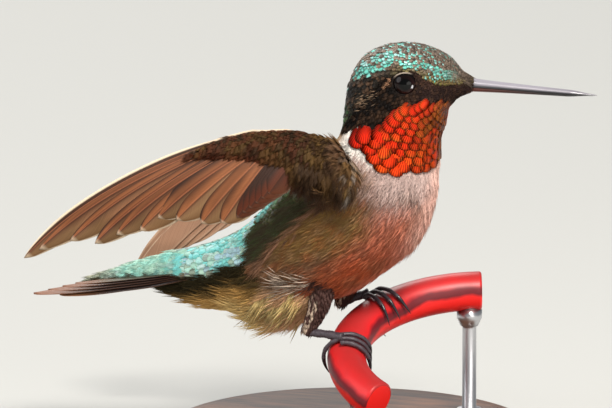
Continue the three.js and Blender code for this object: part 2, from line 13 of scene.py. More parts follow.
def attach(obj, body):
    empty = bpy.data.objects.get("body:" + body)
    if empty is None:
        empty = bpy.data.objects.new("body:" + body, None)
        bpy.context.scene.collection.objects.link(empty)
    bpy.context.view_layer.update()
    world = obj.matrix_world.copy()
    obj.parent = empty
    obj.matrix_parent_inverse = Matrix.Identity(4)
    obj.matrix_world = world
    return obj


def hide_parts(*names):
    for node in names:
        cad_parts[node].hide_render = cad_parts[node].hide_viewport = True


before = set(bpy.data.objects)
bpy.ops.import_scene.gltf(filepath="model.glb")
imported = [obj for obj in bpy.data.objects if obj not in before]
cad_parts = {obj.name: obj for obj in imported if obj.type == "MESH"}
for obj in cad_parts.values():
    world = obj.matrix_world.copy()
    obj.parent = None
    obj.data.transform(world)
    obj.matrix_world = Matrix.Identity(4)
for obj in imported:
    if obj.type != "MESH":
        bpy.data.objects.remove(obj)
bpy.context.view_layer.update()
mm = 0.001
turn = 2 * math.pi
rng = np.random.default_rng(11)


# The camera, the lamps and the floor: places in mm, lamp sizes in metres and powers in watts.
viewSet = {"azimuth": 20, "elevation": 12, "lens": 800, "sensor": 36, "width": 81.6, "clip": (0.1, 20),
           "aimRight": -5.87, "aimUp": 34.67, "aimBack": 8.3}
lampSet = {
    "key": {"place": (330, -400, 640), "size": 0.26, "power": 8.5, "colour": (1.0, 0.96, 0.9)},
    "fill": {"place": (620, -480, 70), "size": 0.6, "power": 2.2, "colour": (1.0, 0.95, 0.9)},
    "side": {"place": (-520, -420, 420), "size": 0.6, "power": 2.2, "colour": (0.95, 0.98, 1.0)},
    "rim": {"place": (-380, 520, 520), "size": 0.5, "power": 3.2, "colour": (1.0, 0.98, 0.94)},
    "catch": {"place": (88, -7, 9), "size": 0.03, "tall": 2, "power": 0.15, "colour": (1.0, 0.98, 0.98)}}
stageSet = {"lampAim": (0, 0, 38.0), "sky": (0.93, 0.96, 1.0), "skyPower": 0.3, "floor": (0.52, 0.52, 0.5),
            "floorHalf": 3000, "floorDrop": 0.02}


def standAt(thing, right, back, place):  # back is the way from what it looks at to the thing
    bpy.context.scene.collection.objects.link(thing)
    axes = [(*right, 0), (*np.cross(back, right), 0), (*back, 0), (*np.multiply(place, mm), 1)]
    thing.matrix_world = Matrix(axes).transposed()


def makeCamera():
    azimuth, elevation = math.radians(viewSet["azimuth"]), math.radians(viewSet["elevation"])
    right = np.array([math.cos(azimuth), math.sin(azimuth), 0])
    back = np.array([math.sin(azimuth) * math.cos(elevation), -math.cos(azimuth) * math.cos(elevation),
                     math.sin(elevation)])
    distance = viewSet["width"] * viewSet["lens"] / viewSet["sensor"]
    place = (right * viewSet["aimRight"] + np.cross(back, right) * viewSet["aimUp"]
             + back * (viewSet["aimBack"] + distance))
    data = bpy.data.cameras.new("camera")
    data.lens = viewSet["lens"]
    data.sensor_width = viewSet["sensor"]
    data.clip_start, data.clip_end = viewSet["clip"]
    camera = bpy.data.objects.new("camera", data)
    standAt(camera, right, back, place)
    bpy.context.scene.camera = camera


def makeStage():
    for name, lamp in lampSet.items():
        light = bpy.data.lights.new(name, "AREA")
        light.shape = "ELLIPSE"
        light.size = lamp["size"]
        light.size_y = lamp["size"] * lamp.get("tall", 1)
        light.energy = lamp["power"]
        light.color = lamp["colour"]
        thing = bpy.data.objects.new(name, light)
        thing.visible_camera = False
        back = unit(np.subtract(lamp["place"], stageSet["lampAim"]))
        standAt(thing, unit(np.cross([0, 0, 1.0], back)), back, lamp["place"])
    world = bpy.data.worlds.new("studio")
    world.use_nodes = True
    sky = world.node_tree.nodes["Background"].inputs
    sky["Color"].default_value = (*stageSet["sky"], 1)
    sky["Strength"].default_value = stageSet["skyPower"]
    bpy.context.scene.world = world
    bpy.context.scene.view_settings.view_transform = "Standard"
    floor = material("pale floor", stageSet["floor"], 0.9)
    corners = [(x * stageSet["floorHalf"], y * stageSet["floorHalf"], -stageSet["floorDrop"])
               for x, y in ((-1, -1), (1, -1), (1, 1), (-1, 1))]
    plane = meshObject("floor", corners, [(0, 1, 2, 3)], floor)


def unit(v):
    v = np.asarray(v, float)
    return v / np.maximum(np.linalg.norm(v, axis=-1, keepdims=True), 1e-9)


def smooth(v, low, high):
    share = np.clip((v - low) / (high - low), 0, 1)
    return share * share * (3 - 2 * share)


def mix(a, b, share):  # two colours, or the names of two tones
    a, b = (tones[colour] if isinstance(colour, str) else colour for colour in (a, b))
    return a + (b - a) * np.asarray(share, float)[..., None]


def between(ends, part):
    first, last = (np.asarray(end, float) for end in ends)
    return first + (last - first) * part


def circle(angles, first, second):
    return np.cos(angles)[..., None] * first + np.sin(angles)[..., None] * second


def signedPower(value, power):
    return np.sign(value) * abs(value) ** power


def layFlat(lie, away):  # a heading with its part along the normal taken off
    return unit(lie - away * np.sum(lie * away, -1)[:, None])


def linear(colour):  # 0 to 255 as on a screen, to the renderer's scale
    c = np.asarray(colour, float) / 255
    return np.where(c <= 0.04045, c / 12.92, ((c + 0.055) / 1.055) ** 2.4)


def splineAt(rows, t):  # a smooth curve through evenly counted rows
    rows = np.asarray(rows, float)
    last = len(rows) - 1
    s = np.clip(t, 0, 1) * last
    i = np.minimum(s.astype(int), last - 1)
    f = (s - i)[..., None]
    a, b, c, d = rows[np.maximum(i - 1, 0)], rows[i], rows[i + 1], rows[np.minimum(i + 2, last)]
    return 0.5 * (2 * b + (c - a) * f + (2 * a - 5 * b + 4 * c - d) * f**2 + (3 * b - a - 3 * c + d) * f**3)


def heightOf(line, x):  # z of a side-view line at x
    line = np.array(sorted(line))
    return np.interp(x, line[:, 0], line[:, 1])


def mottle(points, size, seed=0):  # a soft pattern from 0 to 1, with spots about this big
    local = np.random.default_rng(seed)
    total = np.zeros(len(points))
    for _ in range(9):
        way = unit(local.normal(size=3)) * turn / (2.2 * size * local.uniform(0.7, 1.5))
        total += np.sin(points @ way + local.uniform(0, turn))
    return np.clip(0.5 + total / 7.5, 0, 1)


def addValues(mesh, values):
    kinds = {1: ("FLOAT", "value"), 3: ("FLOAT_VECTOR", "vector"), 4: ("FLOAT_COLOR", "color")}
    for key, value in values.items():
        value = np.asarray(value, np.float32)
        kind, field = kinds[1 if value.ndim == 1 else value.shape[1]]
        mesh.attributes.new(key, kind, "POINT").data.foreach_set(field, value.ravel())


def meshObject(name, points, faces, finish=None, values=None, vane=None, outward=False):
    mesh = bpy.data.meshes.new(name)
    mesh.from_pydata((np.asarray(points, float) * mm).tolist(), [], [list(map(int, f)) for f in faces])
    if outward:
        work = bmesh.new()
        work.from_mesh(mesh)
        bmesh.ops.recalc_face_normals(work, faces=work.faces)
        work.to_mesh(mesh)
        work.free()
    mesh.shade_smooth()
    addValues(mesh, values or {})
    if vane is not None:
        corners = np.zeros(len(mesh.loops), np.int32)
        mesh.loops.foreach_get("vertex_index", corners)
        mesh.uv_layers.new(name="vane").data.foreach_set("uv", np.asarray(vane, np.float32)[corners].ravel())
    if finish:
        mesh.materials.append(finish)
    thing = bpy.data.objects.new(name, mesh)
    bpy.context.scene.collection.objects.link(thing)
    return thing


def ringFaces(rows, count, sides):  # four-sided faces from each of the first rows to the row after it
    i, j = np.meshgrid(np.arange(rows), np.arange(sides), indexing="ij")
    corners = ((i, j), (i, j + 1), (i + 1, j + 1), (i + 1, j))
    return np.stack([(row % count * sides + column % sides).ravel() for row, column in corners], 1).tolist()


def loft(rings):  # rings as (count, sides, 3); returns points and faces of a closed tube
    rings = np.asarray(rings, float)
    count, sides = rings.shape[:2]
    points = np.concatenate([rings.reshape(-1, 3), rings[:1].mean(1), rings[-1:].mean(1)])
    faces = ringFaces(count - 1, count, sides)
    last = (count - 1) * sides
    for k in range(sides):
        n = (k + 1) % sides
        faces += [(count * sides, n, k), (count * sides + 1, last + k, last + n)]
    return points, faces


def tube(path, radius, sides, flat=1.0):
    # A closed round bar along a path; each ring keeps its heading from the one before.
    path = np.asarray(path, float)
    ahead = unit(np.gradient(path, axis=0))
    side = unit(np.cross(ahead[0], [0.3, 0.2, 1.0]))
    angles = np.linspace(0, turn, sides, endpoint=False)
    rings = []
    for place, way, size in zip(path, ahead, np.broadcast_to(radius, len(path))):
        side = unit(side - way * (side @ way))
        rings.append(place + size * circle(angles, side, flat * np.cross(way, side)))
    return loft(rings)


def joinShapes(parts):  # several (points, faces) as one
    starts = np.cumsum([0] + [len(points) for points, _ in parts]).tolist()
    faces = [[v + start for v in face] for (_, group), start in zip(parts, starts) for face in group]
    return np.concatenate([points for points, _ in parts]), faces


def joinVanes(parts):  # several (points, faces, values, vane) as one
    points, faces = joinShapes([part[:2] for part in parts])
    values = {key: np.concatenate([part[2][key] for part in parts]) for key in parts[0][2]}
    return points, faces, values, np.concatenate([part[3] for part in parts])


def wholeGrid(along, around):  # places along and around a surface, and the same with the two end caps
    angles = np.linspace(0, turn, around, endpoint=False)
    p, q = np.meshgrid(np.linspace(0, 1, along), angles, indexing="ij")
    return p, q, np.append(p.ravel(), [0, 1]), np.append(q.ravel(), [0, 0])


def applyModifiers(thing):
    depsgraph = bpy.context.evaluated_depsgraph_get()
    made = bpy.data.meshes.new_from_object(thing.evaluated_get(depsgraph), preserve_all_data_layers=True,
                                           depsgraph=depsgraph)
    thing.modifiers.clear()
    thing.data = made


def keep(thing, slot, *nodes):
    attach(thing, "root")
    if nodes:
        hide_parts(*nodes)
    return thing


def material(name, colour=(0.5, 0.5, 0.5), roughness=0.5, **sockets):
    made = bpy.data.materials.new(name)
    made.use_nodes = True
    shader = made.node_tree.nodes["Principled BSDF"]
    shader.inputs["Base Color"].default_value = (*colour, 1)
    shader.inputs["Roughness"].default_value = roughness
    for key, value in sockets.items():
        shader.inputs[key.replace("_", " ")].default_value = value
    return made


def node(tree, kind, inputs=None, **settings):
    made = tree.nodes.new(kind)
    for key, value in settings.items():
        setattr(made, key, value)
    for key, value in (inputs or {}).items():
        if isinstance(value, bpy.types.NodeSocket):
            tree.links.new(value, made.inputs[key])
        else:
            made.inputs[key].default_value = value
    return made


def calc(tree, operation, a, b=0.0, c=0.0):
    return node(tree, "ShaderNodeMath", {0: a, 1: b, 2: c}, operation=operation).outputs[0]


def attribute(tree, name, output="Fac"):
    return node(tree, "ShaderNodeAttribute", attribute_name=name).outputs[output]


def blended(tree, share, a, b, **settings):
    return node(tree, "ShaderNodeMix", {0: share, 6: a, 7: b}, data_type="RGBA", **settings).outputs[2]


def ranged(tree, value, low, high, start=0.0, end=1.0, **settings):  # start to end becomes low to high
    inputs = {"Value": value, "From Min": start, "From Max": end, "To Min": low, "To Max": high}
    return node(tree, "ShaderNodeMapRange", inputs, **settings).outputs[0]


def objectPlace(tree, **mapping):
    place = node(tree, "ShaderNodeTexCoord").outputs["Object"]
    return node(tree, "ShaderNodeMapping", {"Vector": place, **mapping}).outputs[0] if mapping else place


def noiseAt(tree, place, scale, detail, **more):
    inputs = {"Vector": place, "Scale": scale, "Detail": detail, **more}
    return node(tree, "ShaderNodeTexNoise", inputs).outputs[0]


def rampAt(tree, value, stops):  # stops are (place, colour)
    ramp = node(tree, "ShaderNodeValToRGB", {0: value})
    while len(ramp.color_ramp.elements) < len(stops):
        ramp.color_ramp.elements.new(0.5)
    for element, (place, colour) in zip(ramp.color_ramp.elements, stops):
        element.position = place
        element.color = (*colour, 1)
    return ramp.outputs[0]


def wire(made, height=None, strength=0.3, depth=0.05, invert=False, **sockets):
    # Links outputs to the shader's sockets, and a height to its normal by a bump of this depth in mm.
    tree = made.node_tree
    shader = tree.nodes["Principled BSDF"]
    for key, output in sockets.items():
        tree.links.new(output, shader.inputs[key.replace("_", " ")])
    if height is not None:
        inputs = {"Strength": strength, "Distance": depth * mm, "Height": height}
        relief = node(tree, "ShaderNodeBump", inputs, invert=invert)
        tree.links.new(relief.outputs[0], shader.inputs["Normal"])
    return made


def newGroup(name, kind, inputs, outputs):  # an input is its default number, or the name of its type
    tree = bpy.data.node_groups.new(name, kind)
    numbers = {float: "Float", int: "Int"}
    for label, value in inputs.items():
        socket = numbers.get(type(value), value)
        made = tree.interface.new_socket(label, in_out="INPUT", socket_type=f"NodeSocket{socket}")
        if type(value) in numbers:
            made.default_value = value
    for label, socket in outputs.items():
        tree.interface.new_socket(label, in_out="OUTPUT", socket_type=f"NodeSocket{socket}")
    return tree, tree.nodes.new("NodeGroupInput").outputs, tree.nodes.new("NodeGroupOutput").inputs


def makeBarbGroup():
    # Fine lines that run outwards and forwards from a feather's shaft, on the map named vane.
    tree, inside, out = newGroup("barbs", "ShaderNodeTree", {"Count": 20.0, "Slant": 6.0, "Rays": 0.0},
                                 {"Line": "Float", "Side": "Float", "Along": "Float"})
    place = node(tree, "ShaderNodeUVMap", uv_map="vane").outputs[0]
    x, along, _ = node(tree, "ShaderNodeSeparateXYZ", {0: place}).outputs
    side = calc(tree, "ABSOLUTE", calc(tree, "MULTIPLY_ADD", x, 2.0, -1.0))
    run = calc(tree, "SUBTRACT", calc(tree, "MULTIPLY", along, inside["Count"]),
               calc(tree, "MULTIPLY", side, inside["Slant"]))
    shifted = calc(tree, "MULTIPLY_ADD", attribute(tree, "luck"), 97.0, run)
    wobble = node(tree, "ShaderNodeTexNoise", {"W": shifted, "Scale": 0.9, "Detail": 1.0},
                  noise_dimensions="1D").outputs[0]
    wave = calc(tree, "SINE", calc(tree, "MULTIPLY", run, turn))
    line = calc(tree, "MULTIPLY_ADD", wave, 0.28, calc(tree, "MULTIPLY_ADD", wobble, 1.2, -0.1))
    heading = calc(tree, "ARCTAN2", calc(tree, "SUBTRACT", x, 0.5), calc(tree, "ADD", along, 0.08))
    spoke = calc(tree, "COSINE", calc(tree, "MULTIPLY", heading, inside["Rays"]))
    ray = calc(tree, "MULTIPLY_ADD", spoke, 0.5, 0.5)
    fan = calc(tree, "GREATER_THAN", inside["Rays"], 0.5)
    both = node(tree, "ShaderNodeMix", {0: fan, 2: line, 3: ray}).outputs[0]
    tree.links.new(node(tree, "ShaderNodeClamp", {0: both}).outputs[0], out["Line"])
    tree.links.new(side, out["Side"])
    tree.links.new(along, out["Along"])
    return tree


def makePlumageGroup(barbs):
    # A feather's colour from its own tint and rim, with painted shade between its barbs, at its root and
    # round its edge.
    tree, inside, out = newGroup("plumage", "ShaderNodeTree",
                                 {"Count": 20.0, "Slant": 6.0, "Contrast": 0.5, "Rim From": 0.7,
                                  "Root Shade": 0.4, "Rays": 0.0, "Line Share": 0.0, "Edge Shade": 0.0},
                                 {"Color": "Color", "Height": "Float"})
    shared = {key: inside[key] for key in ("Count", "Slant", "Rays")}
    line, side, along = node(tree, "ShaderNodeGroup", shared, node_tree=barbs).outputs
    reach = calc(tree, "ADD", calc(tree, "POWER", side, 3.0), calc(tree, "POWER", along, 5.0))
    edge = ranged(tree, calc(tree, "POWER", reach, 0.5), 0.0, 1.0, inside["Rim From"],
                  interpolation_type="SMOOTHSTEP")
    plain = calc(tree, "MULTIPLY", edge, calc(tree, "SUBTRACT", 1.0, inside["Line Share"]))
    lined = calc(tree, "MULTIPLY_ADD", calc(tree, "POWER", line, 2.0), inside["Line Share"], plain)
    colour = blended(tree, lined, attribute(tree, "tint", "Color"), attribute(tree, "rim", "Color"))
    shade = ranged(tree, line, calc(tree, "SUBTRACT", 1.0, inside["Contrast"]), 1.0)
    rooted = ranged(tree, along, calc(tree, "SUBTRACT", 1.0, inside["Root Shade"]), 1.0, 0.0, 0.55)
    ended = calc(tree, "SUBTRACT", 1.0, calc(tree, "MULTIPLY", edge, inside["Edge Shade"]))
    both = calc(tree, "MULTIPLY", calc(tree, "MULTIPLY", shade, rooted), ended)
    gray = node(tree, "ShaderNodeCombineXYZ", {0: both, 1: both, 2: both}).outputs[0]
    tree.links.new(blended(tree, 1.0, colour, gray, blend_type="MULTIPLY"), out["Color"])
    tree.links.new(line, out["Height"])
    return tree


def featherMaterial(name, roughness=0.6, count=14.0, slant=3.0, contrast=0.4, rimFrom=0.7, rootShade=0.4,
                    rays=0.0, lineShare=0.0, edgeShade=0.0, bump=0.25, gloss=0.2, glow=0.0, **sockets):
    made = material(name, roughness=roughness, Specular_IOR_Level=gloss, **sockets)
    inputs = {"Count": count, "Slant": slant, "Contrast": contrast, "Rim From": rimFrom,
              "Root Shade": rootShade, "Rays": rays, "Line Share": lineShare, "Edge Shade": edgeShade}
    looks = node(made.node_tree, "ShaderNodeGroup", inputs, node_tree=plumageGroup).outputs
    wire(made, looks["Height"], bump, Base_Color=looks["Color"])
    if glow:  # painted glow: an emission that brightens an iridescent feather as if more light fell on it
        wire(made, Emission_Color=looks["Color"])
        made.node_tree.nodes["Principled BSDF"].inputs["Emission Strength"].default_value = glow
    return made


# Feather shapes, one unit long: x across, y from root to tip, z away from the body. A blade's widths
# are (place along, half width); a fan's barbs spread from its root.
templateSet = {
    "blade": {"widths": [(0, 0.07), (0.2, 0.26), (0.42, 0.42), (0.62, 0.49), (0.8, 0.46), (0.92, 0.32),
                         (1.0, 0.08)],
              "arch": 0.03, "camber": 0.035, "thick": 0.012},
    "scale": {"widths": [(0, 0.26), (0.07, 0.37), (0.18, 0.43), (0.36, 0.46), (0.6, 0.5), (0.8, 0.47),
                         (0.92, 0.36), (1.0, 0.14)],
              "arch": 0.04, "camber": 0.05, "thick": 0.012},
    "lax": {"barbs": 11, "spread": 0.46, "width": 0.075, "arch": 0.05, "fray": 0.3, "start": 0.06,
            "seed": 3},
    "strand": {"barbs": 9, "spread": 0.4, "width": 0.05, "arch": 0.06, "fray": 0.4, "start": 0.1,
               "seed": 9},
    "hair": {"barbs": 2, "spread": 0.07, "width": 0.1, "arch": 0.05, "fray": 0.2, "start": 0.0,
             "seed": 4}}
barbSet = {"elbow": 0.62, "shorter": 0.32, "flatter": 0.35, "tipDrop": 0.05}


def bladeShape(widths, arch, camber, thick):
    rings = []
    for along, half in widths:
        rise = arch * math.sin(math.pi * min(along * 0.85, 1))
        drop = camber * (half / 0.5) ** 2
        rings.append([(-half, along, rise - drop), (0, along, rise + thick), (half, along, rise - drop),
                      (0, along, rise - thick)])
    return loft(rings)


def fanShape(barbs, spread, width, arch, fray, start, seed):
    # Each barb is a thin roof with a pointed end.
    local = np.random.default_rng(seed)
    points, faces = [], []
    for k in range(barbs):
        side = 2 * k / (barbs - 1) - 1
        angle = side * spread
        reach = (1 - barbSet["shorter"] * side * side) * (1 - fray * local.uniform(0, 1))
        way = np.array([math.sin(angle), math.cos(angle)])
        aside = np.array([way[1], -way[0]])
        base = np.array([side * start, 0.0])
        middle = base + way * reach * barbSet["elbow"]
        lift = arch * (1 - barbSet["flatter"] * side * side) + local.uniform(-0.01, 0.01)
        half = width * local.uniform(0.85, 1.15) / 2
        first = len(points)
        points += [(*base, 0), (*(middle - aside * half), lift - 0.02), (*middle, lift + half * 0.7),
                   (*(middle + aside * half), lift - 0.02),
                   (*(base + way * reach), lift * 0.7 - barbSet["tipDrop"])]
        r, left, top, right, end = range(first, first + 5)
        faces += [(r, left, top), (r, top, right), (end, top, left), (end, right, top), (r, right, end, left)]
    return np.array(points), faces


def makeTemplates():
    made = {}
    for name, plan in templateSet.items():
        points, faces = bladeShape(**plan) if "widths" in plan else fanShape(**plan)
        vanes = np.stack([points[:, 0] + 0.5, points[:, 1]], 1)
        made[name] = meshObject(name, points / mm, faces, vane=vanes, outward=True)
        made[name].hide_render = True
    return made


# Laying feathers on a surface. A spread gives the values of these inputs of the tree, in this order.
spreadNames = ("Lift", "Lift Spread", "Turn Spread", "Size Spread", "Seed")


def makeLayTree():
    tree, inside, out = newGroup("layFeathers", "GeometryNodeTree",
                                 {"Geometry": "Geometry", "Feather": "Object", "Lift": 0.2,
                                  "Lift Spread": 0.06, "Turn Spread": 0.1, "Size Spread": 0.12,
                                  "Patch Size": 0.003, "Seed": 1, "Finish": "Material"},
                                 {"Geometry": "Geometry"})

    def named(label, kind="FLOAT_VECTOR"):
        return node(tree, "GeometryNodeInputNamedAttribute", {"Name": label}, data_type=kind).outputs[0]

    def around(label, offset):  # from minus to plus a spread, for each feather
        seed = node(tree, "FunctionNodeIntegerMath", {0: inside["Seed"], 1: offset}, operation="ADD")
        low = calc(tree, "MULTIPLY", inside[label], -1.0)
        return node(tree, "FunctionNodeRandomValue", {2: low, 3: inside[label], 8: seed.outputs[0]},
                    data_type="FLOAT").outputs[1]

    def vectors(operation, inputs):
        return node(tree, "ShaderNodeVectorMath", inputs, operation=operation).outputs[0]

    base = node(tree, "FunctionNodeAxesToRotation", {0: named("away"), 1: named("lie")},
                primary_axis="Z", secondary_axis="Y").outputs[0]
    lift = calc(tree, "ADD", inside["Lift"], around("Lift Spread", 1))
    tip = calc(tree, "ADD", lift, named("raise", "FLOAT"))
    euler = node(tree, "ShaderNodeCombineXYZ", {0: tip, 1: around("Turn Spread", 2),
                                                2: around("Turn Spread", 3)}).outputs[0]
    tilt = node(tree, "FunctionNodeEulerToRotation", {0: euler}).outputs[0]
    final = node(tree, "FunctionNodeRotateRotation", {0: base, 1: tilt}, rotation_space="LOCAL").outputs[0]
    size = vectors("SCALE", {0: named("span"), "Scale": calc(tree, "ADD", 1.0, around("Size Spread", 4))})
    feather = node(tree, "GeometryNodeObjectInfo", {"Object": inside["Feather"]}).outputs["Geometry"]
    laid = node(tree, "GeometryNodeInstanceOnPoints", {"Points": inside["Geometry"], "Instance": feather,
                                                       "Rotation": final, "Scale": size}).outputs[0]
    real = node(tree, "GeometryNodeRealizeInstances", {0: laid}).outputs[0]
    centred = vectors("SUBTRACT", {0: named("vane"), 1: (0.5, 0.5, 0)})
    small = vectors("SCALE", {0: centred, "Scale": inside["Patch Size"]})
    spot = vectors("ADD", {0: named("patch"), 1: small})
    inputs = {"Geometry": real, "Name": "OFBake", "Value": spot}
    mapped = node(tree, "GeometryNodeStoreNamedAttribute", inputs, data_type="FLOAT2",
                  domain="CORNER").outputs[0]
    done = node(tree, "GeometryNodeSetMaterial", {"Geometry": mapped, "Material": inside["Finish"]})
    tree.links.new(done.outputs[0], out["Geometry"])
    return tree


def rootSet(root, lie, away, luck, long, width, rise, tint, rim, patch, lifted=0.0):
    # One row for each feather; long is its length in mm, width and rise are shares of it.
    return {"root": root, "lie": lie, "away": away, "luck": luck, "raise": np.full(len(root), float(lifted)),
            "span": np.stack([long * width, long, long * rise], 1), "tint": asColour(tint),
            "rim": asColour(rim), "patch": patch}


# A feather's place on the map goes by its place along and around its surface: corner, then reach.
patches = {"trunk": ((0.02, 0.02), (0.7, 0.6)), "arm": ((0.02, 0.68), (0.6, 0.28)),
           "thigh": ((0.75, 0.02), (0.2, 0.3))}


def patchAt(p, q, corner, reach):
    return np.stack([corner[0] + reach[0] * p, corner[1] + reach[1] * (q % turn) / turn, 0 * p], 1)


def layFeathers(name, roots, feather, finish, spread):
    values = {key: roots[key] for key in ("lie", "away", "raise", "tint", "rim", "patch", "luck")}
    values["span"] = roots["span"] * mm
    carrier = meshObject(name + "_roots", roots["root"], [], values=values)
    changer = carrier.modifiers.new("lay", "NODES")
    changer.node_group = layTree
    wanted = {"Feather": templates[feather], "Finish": finish, **dict(zip(spreadNames, spread))}
    for item in layTree.interface.items_tree:
        if item.in_out == "INPUT" and item.name in wanted:
            changer[item.identifier] = wanted[item.name]
    carrier.update_tag()
    applyModifiers(carrier)
    mesh = carrier.data
    bpy.data.objects.remove(carrier)
    mesh.name = name
    thing = bpy.data.objects.new(name, mesh)
    bpy.context.scene.collection.objects.link(thing)
    for spare in ("lie", "away", "span", "raise", "patch"):
        if spare in mesh.attributes:
            mesh.attributes.remove(mesh.attributes[spare])
    triangles = sum(len(p.vertices) - 2 for p in mesh.polygons)
    print(f"  {name}: {len(roots['root'])} feathers, {triangles} triangles")
    return thing


def frameAt(surface, p, q):
    step = 1e-3
    along = surface(p + step, q) - surface(p - step, q)
    around = surface(p, q + step) - surface(p, q - step)
    return surface(p, q), unit(along), unit(np.cross(along, around))


scatterSet = {"angles": 145, "skip": 0.004, "probe": 0.002, "percentile": 70}


def scatter(surface, length, wanted, row=0.5, column=0.5, jitter=0.16, span=(0.0, 1.0)):
    # Rows of roots across a surface, each row shifted by half a step, with the spacing set by the
    # feather's length. Returns the places p along and q around.
    angles = np.linspace(0, turn, scatterSet["angles"])
    probe = scatterSet["probe"]
    found = []
    p = span[0]
    count = 0
    while p < span[1]:
        here = np.full_like(angles, p)
        ring = surface(here, angles)
        inside = wanted(here, angles)
        if not inside.any():
            p += scatterSet["skip"]
            continue
        speed = np.linalg.norm(surface(here + probe, angles) - ring, axis=1) / probe
        size = length(p)
        step = row * size / np.percentile(speed[inside], scatterSet["percentile"])
        arc = np.concatenate([[0], np.cumsum(np.linalg.norm(np.diff(ring, axis=0), axis=1))])
        number = max(3, round(arc[-1] / (column * size)))
        places = np.arange(number) + 0.5 * (count % 2) + jitter * rng.uniform(-1, 1, number)
        q = np.interp(places / number * arc[-1] % arc[-1], arc, angles)
        along = p + jitter * step * rng.uniform(-1, 1, number)
        chosen = wanted(along, q)
        found.append(np.stack([along[chosen], q[chosen]], 1))
        p += step
        count += 1
    return np.concatenate(found).T


# The trunk: top x, z, bottom x, z and half width of each slanted section, bill to tail.
trunkSections = np.array([
    (16.9, 53.1, 16.9, 51.3, 0.95), (15.3, 54.2, 15.8, 50.8, 1.75), (13.2, 56.3, 14.6, 50.1, 3.2),
    (10.4, 57.5, 13.6, 49.0, 4.6), (7.5, 57.9, 13.1, 47.1, 5.4), (4.5, 57.4, 12.5, 44.9, 5.75),
    (1.8, 55.8, 12.3, 41.9, 5.8), (0.1, 52.9, 12.0, 38.3, 5.8), (-0.6, 49.4, 11.2, 34.1, 6.2),
    (-0.9, 46.8, 9.3, 30.2, 7.0), (-1.9, 44.6, 6.0, 27.0, 7.9), (-3.5, 42.8, 1.7, 23.8, 8.5),
    (-5.7, 40.5, -2.8, 21.7, 8.4), (-8.6, 37.7, -7.1, 18.8, 7.6), (-12.2, 34.3, -11.2, 17.7, 6.4),
    (-15.8, 31.3, -15.9, 19.2, 5.2), (-20.6, 28.9, -20.6, 20.0, 4.2), (-25.5, 27.4, -24.4, 21.1, 3.4),
    (-30.6, 25.5, -28.6, 22.4, 2.7), (-36.2, 23.2, -34.6, 22.0, 1.7)])
sectionPower = 2 / 2.15
headSet = {"turn": math.radians(14), "axisX": 4}
coatDepth = [(0, 0.15), (0.1, 0.3), (0.3, 0.4), (0.45, 0.6), (0.55, 0.8), (0.8, 0.7), (0.92, 0.5), (1, 0.3)]


def flatTrunk(t, a, grow=0.0):
    # The trunk before the head turns; a is 0 on top and a quarter turn on the right.
    row = splineAt(trunkSections, t)
    middle = (row[..., 0:2] + row[..., 2:4]) / 2
    up = row[..., 0:2] - middle
    height = np.linalg.norm(up, axis=-1)
    up = up / height[..., None]
    rise = signedPower(np.cos(a), sectionPower) * (height + grow)
    aside = -signedPower(np.sin(a), sectionPower) * (row[..., 4] + grow)
    return np.stack([middle[..., 0] + up[..., 0] * rise, aside, middle[..., 1] + up[..., 1] * rise], -1)


def turnHead(points):
    x, y, z = points[..., 0], points[..., 1], points[..., 2]
    angle = headSet["turn"] * smooth((z - (42 - x)) / (7.4 + 0.38 * np.maximum(x, -4)), 0, 1)
    ahead = x - headSet["axisX"]
    return np.stack([headSet["axisX"] + ahead * np.cos(angle) - y * np.sin(angle),
                     ahead * np.sin(angle) + y * np.cos(angle), z], -1)


def trunk(t, a):  # the outside of the plumage
    return turnHead(flatTrunk(t, a))


def depthAt(t):
    return np.interp(t, *np.array(coatDepth).T)


def skinTrunk(t, a):
    return turnHead(flatTrunk(t, a, -depthAt(t)))


# Markings, shared by the skin and the coat: lines of the side view as (x, z), and tones as on a screen.
crownLine = [(-1.2, 46.9), (0.3, 48.9), (1.4, 50.7), (3.1, 52.3), (4.9, 53.9), (6.4, 54.5), (8.0, 55.1),
             (9.6, 55.0), (10.9, 54.3), (11.9, 53.4), (12.7, 53.0), (13.9, 52.7), (15.2, 52.6), (17.2, 52.4)]
tealLow = [(-1.0, 52.8), (0.7, 53.8), (2.2, 54.5), (5.4, 55.3), (8.1, 55.8), (10.8, 54.8), (13.6, 53.5),
           (15.0, 53.0)]
gorgetEdge = [(-1.2, 46.3), (0.8, 47.2), (1.8, 47.9), (3.0, 48.0), (4.1, 48.2), (5.1, 48.7), (6.5, 49.4),
              (7.6, 50.3), (8.7, 50.6), (10.2, 51.0), (11.5, 51.0), (12.7, 50.8), (13.9, 50.2), (15.0, 49.4)]
gorgetFoot = [(-1.2, 47.0), (0.5, 46.7), (1.2, 46.1), (2.1, 45.3), (3.4, 43.9), (4.8, 42.6), (6.7, 41.6),
              (8.7, 41.3), (10.4, 41.3), (12.1, 41.5), (15.0, 42.2)]
scaleOverhang = 1.5
flankFront = [(0.7, 28.7), (3.2, 31.2), (5.2, 33.8), (5.8, 37.0), (5.0, 39.5), (3.4, 42.0), (-1.2, 44.6)]
plumeLine = [(-9.9, 28.2), (-8.0, 30.8), (-4.2, 34.3), (0.0, 38.1), (1.2, 42)]
rumpFoot = [(-36, 23.0), (-25, 23.4), (-20.6, 24.4), (-16.5, 25.6), (-13.5, 27.3), (-11.0, 28.4)]
ventFront = [(-12.5, 27.6), (-8.5, 25.6), (-4.0, 24.6), (-1.8, 22.6)]
rumpFront = -11.9
zones = ("crown", "face", "gorget", "breast", "flank", "back", "rump", "coverts", "vent")
zoneVary = {"crown": 0.2, "rump": 0.2, "back": 0.2}  # how unlike the feathers of a zone are in brightness


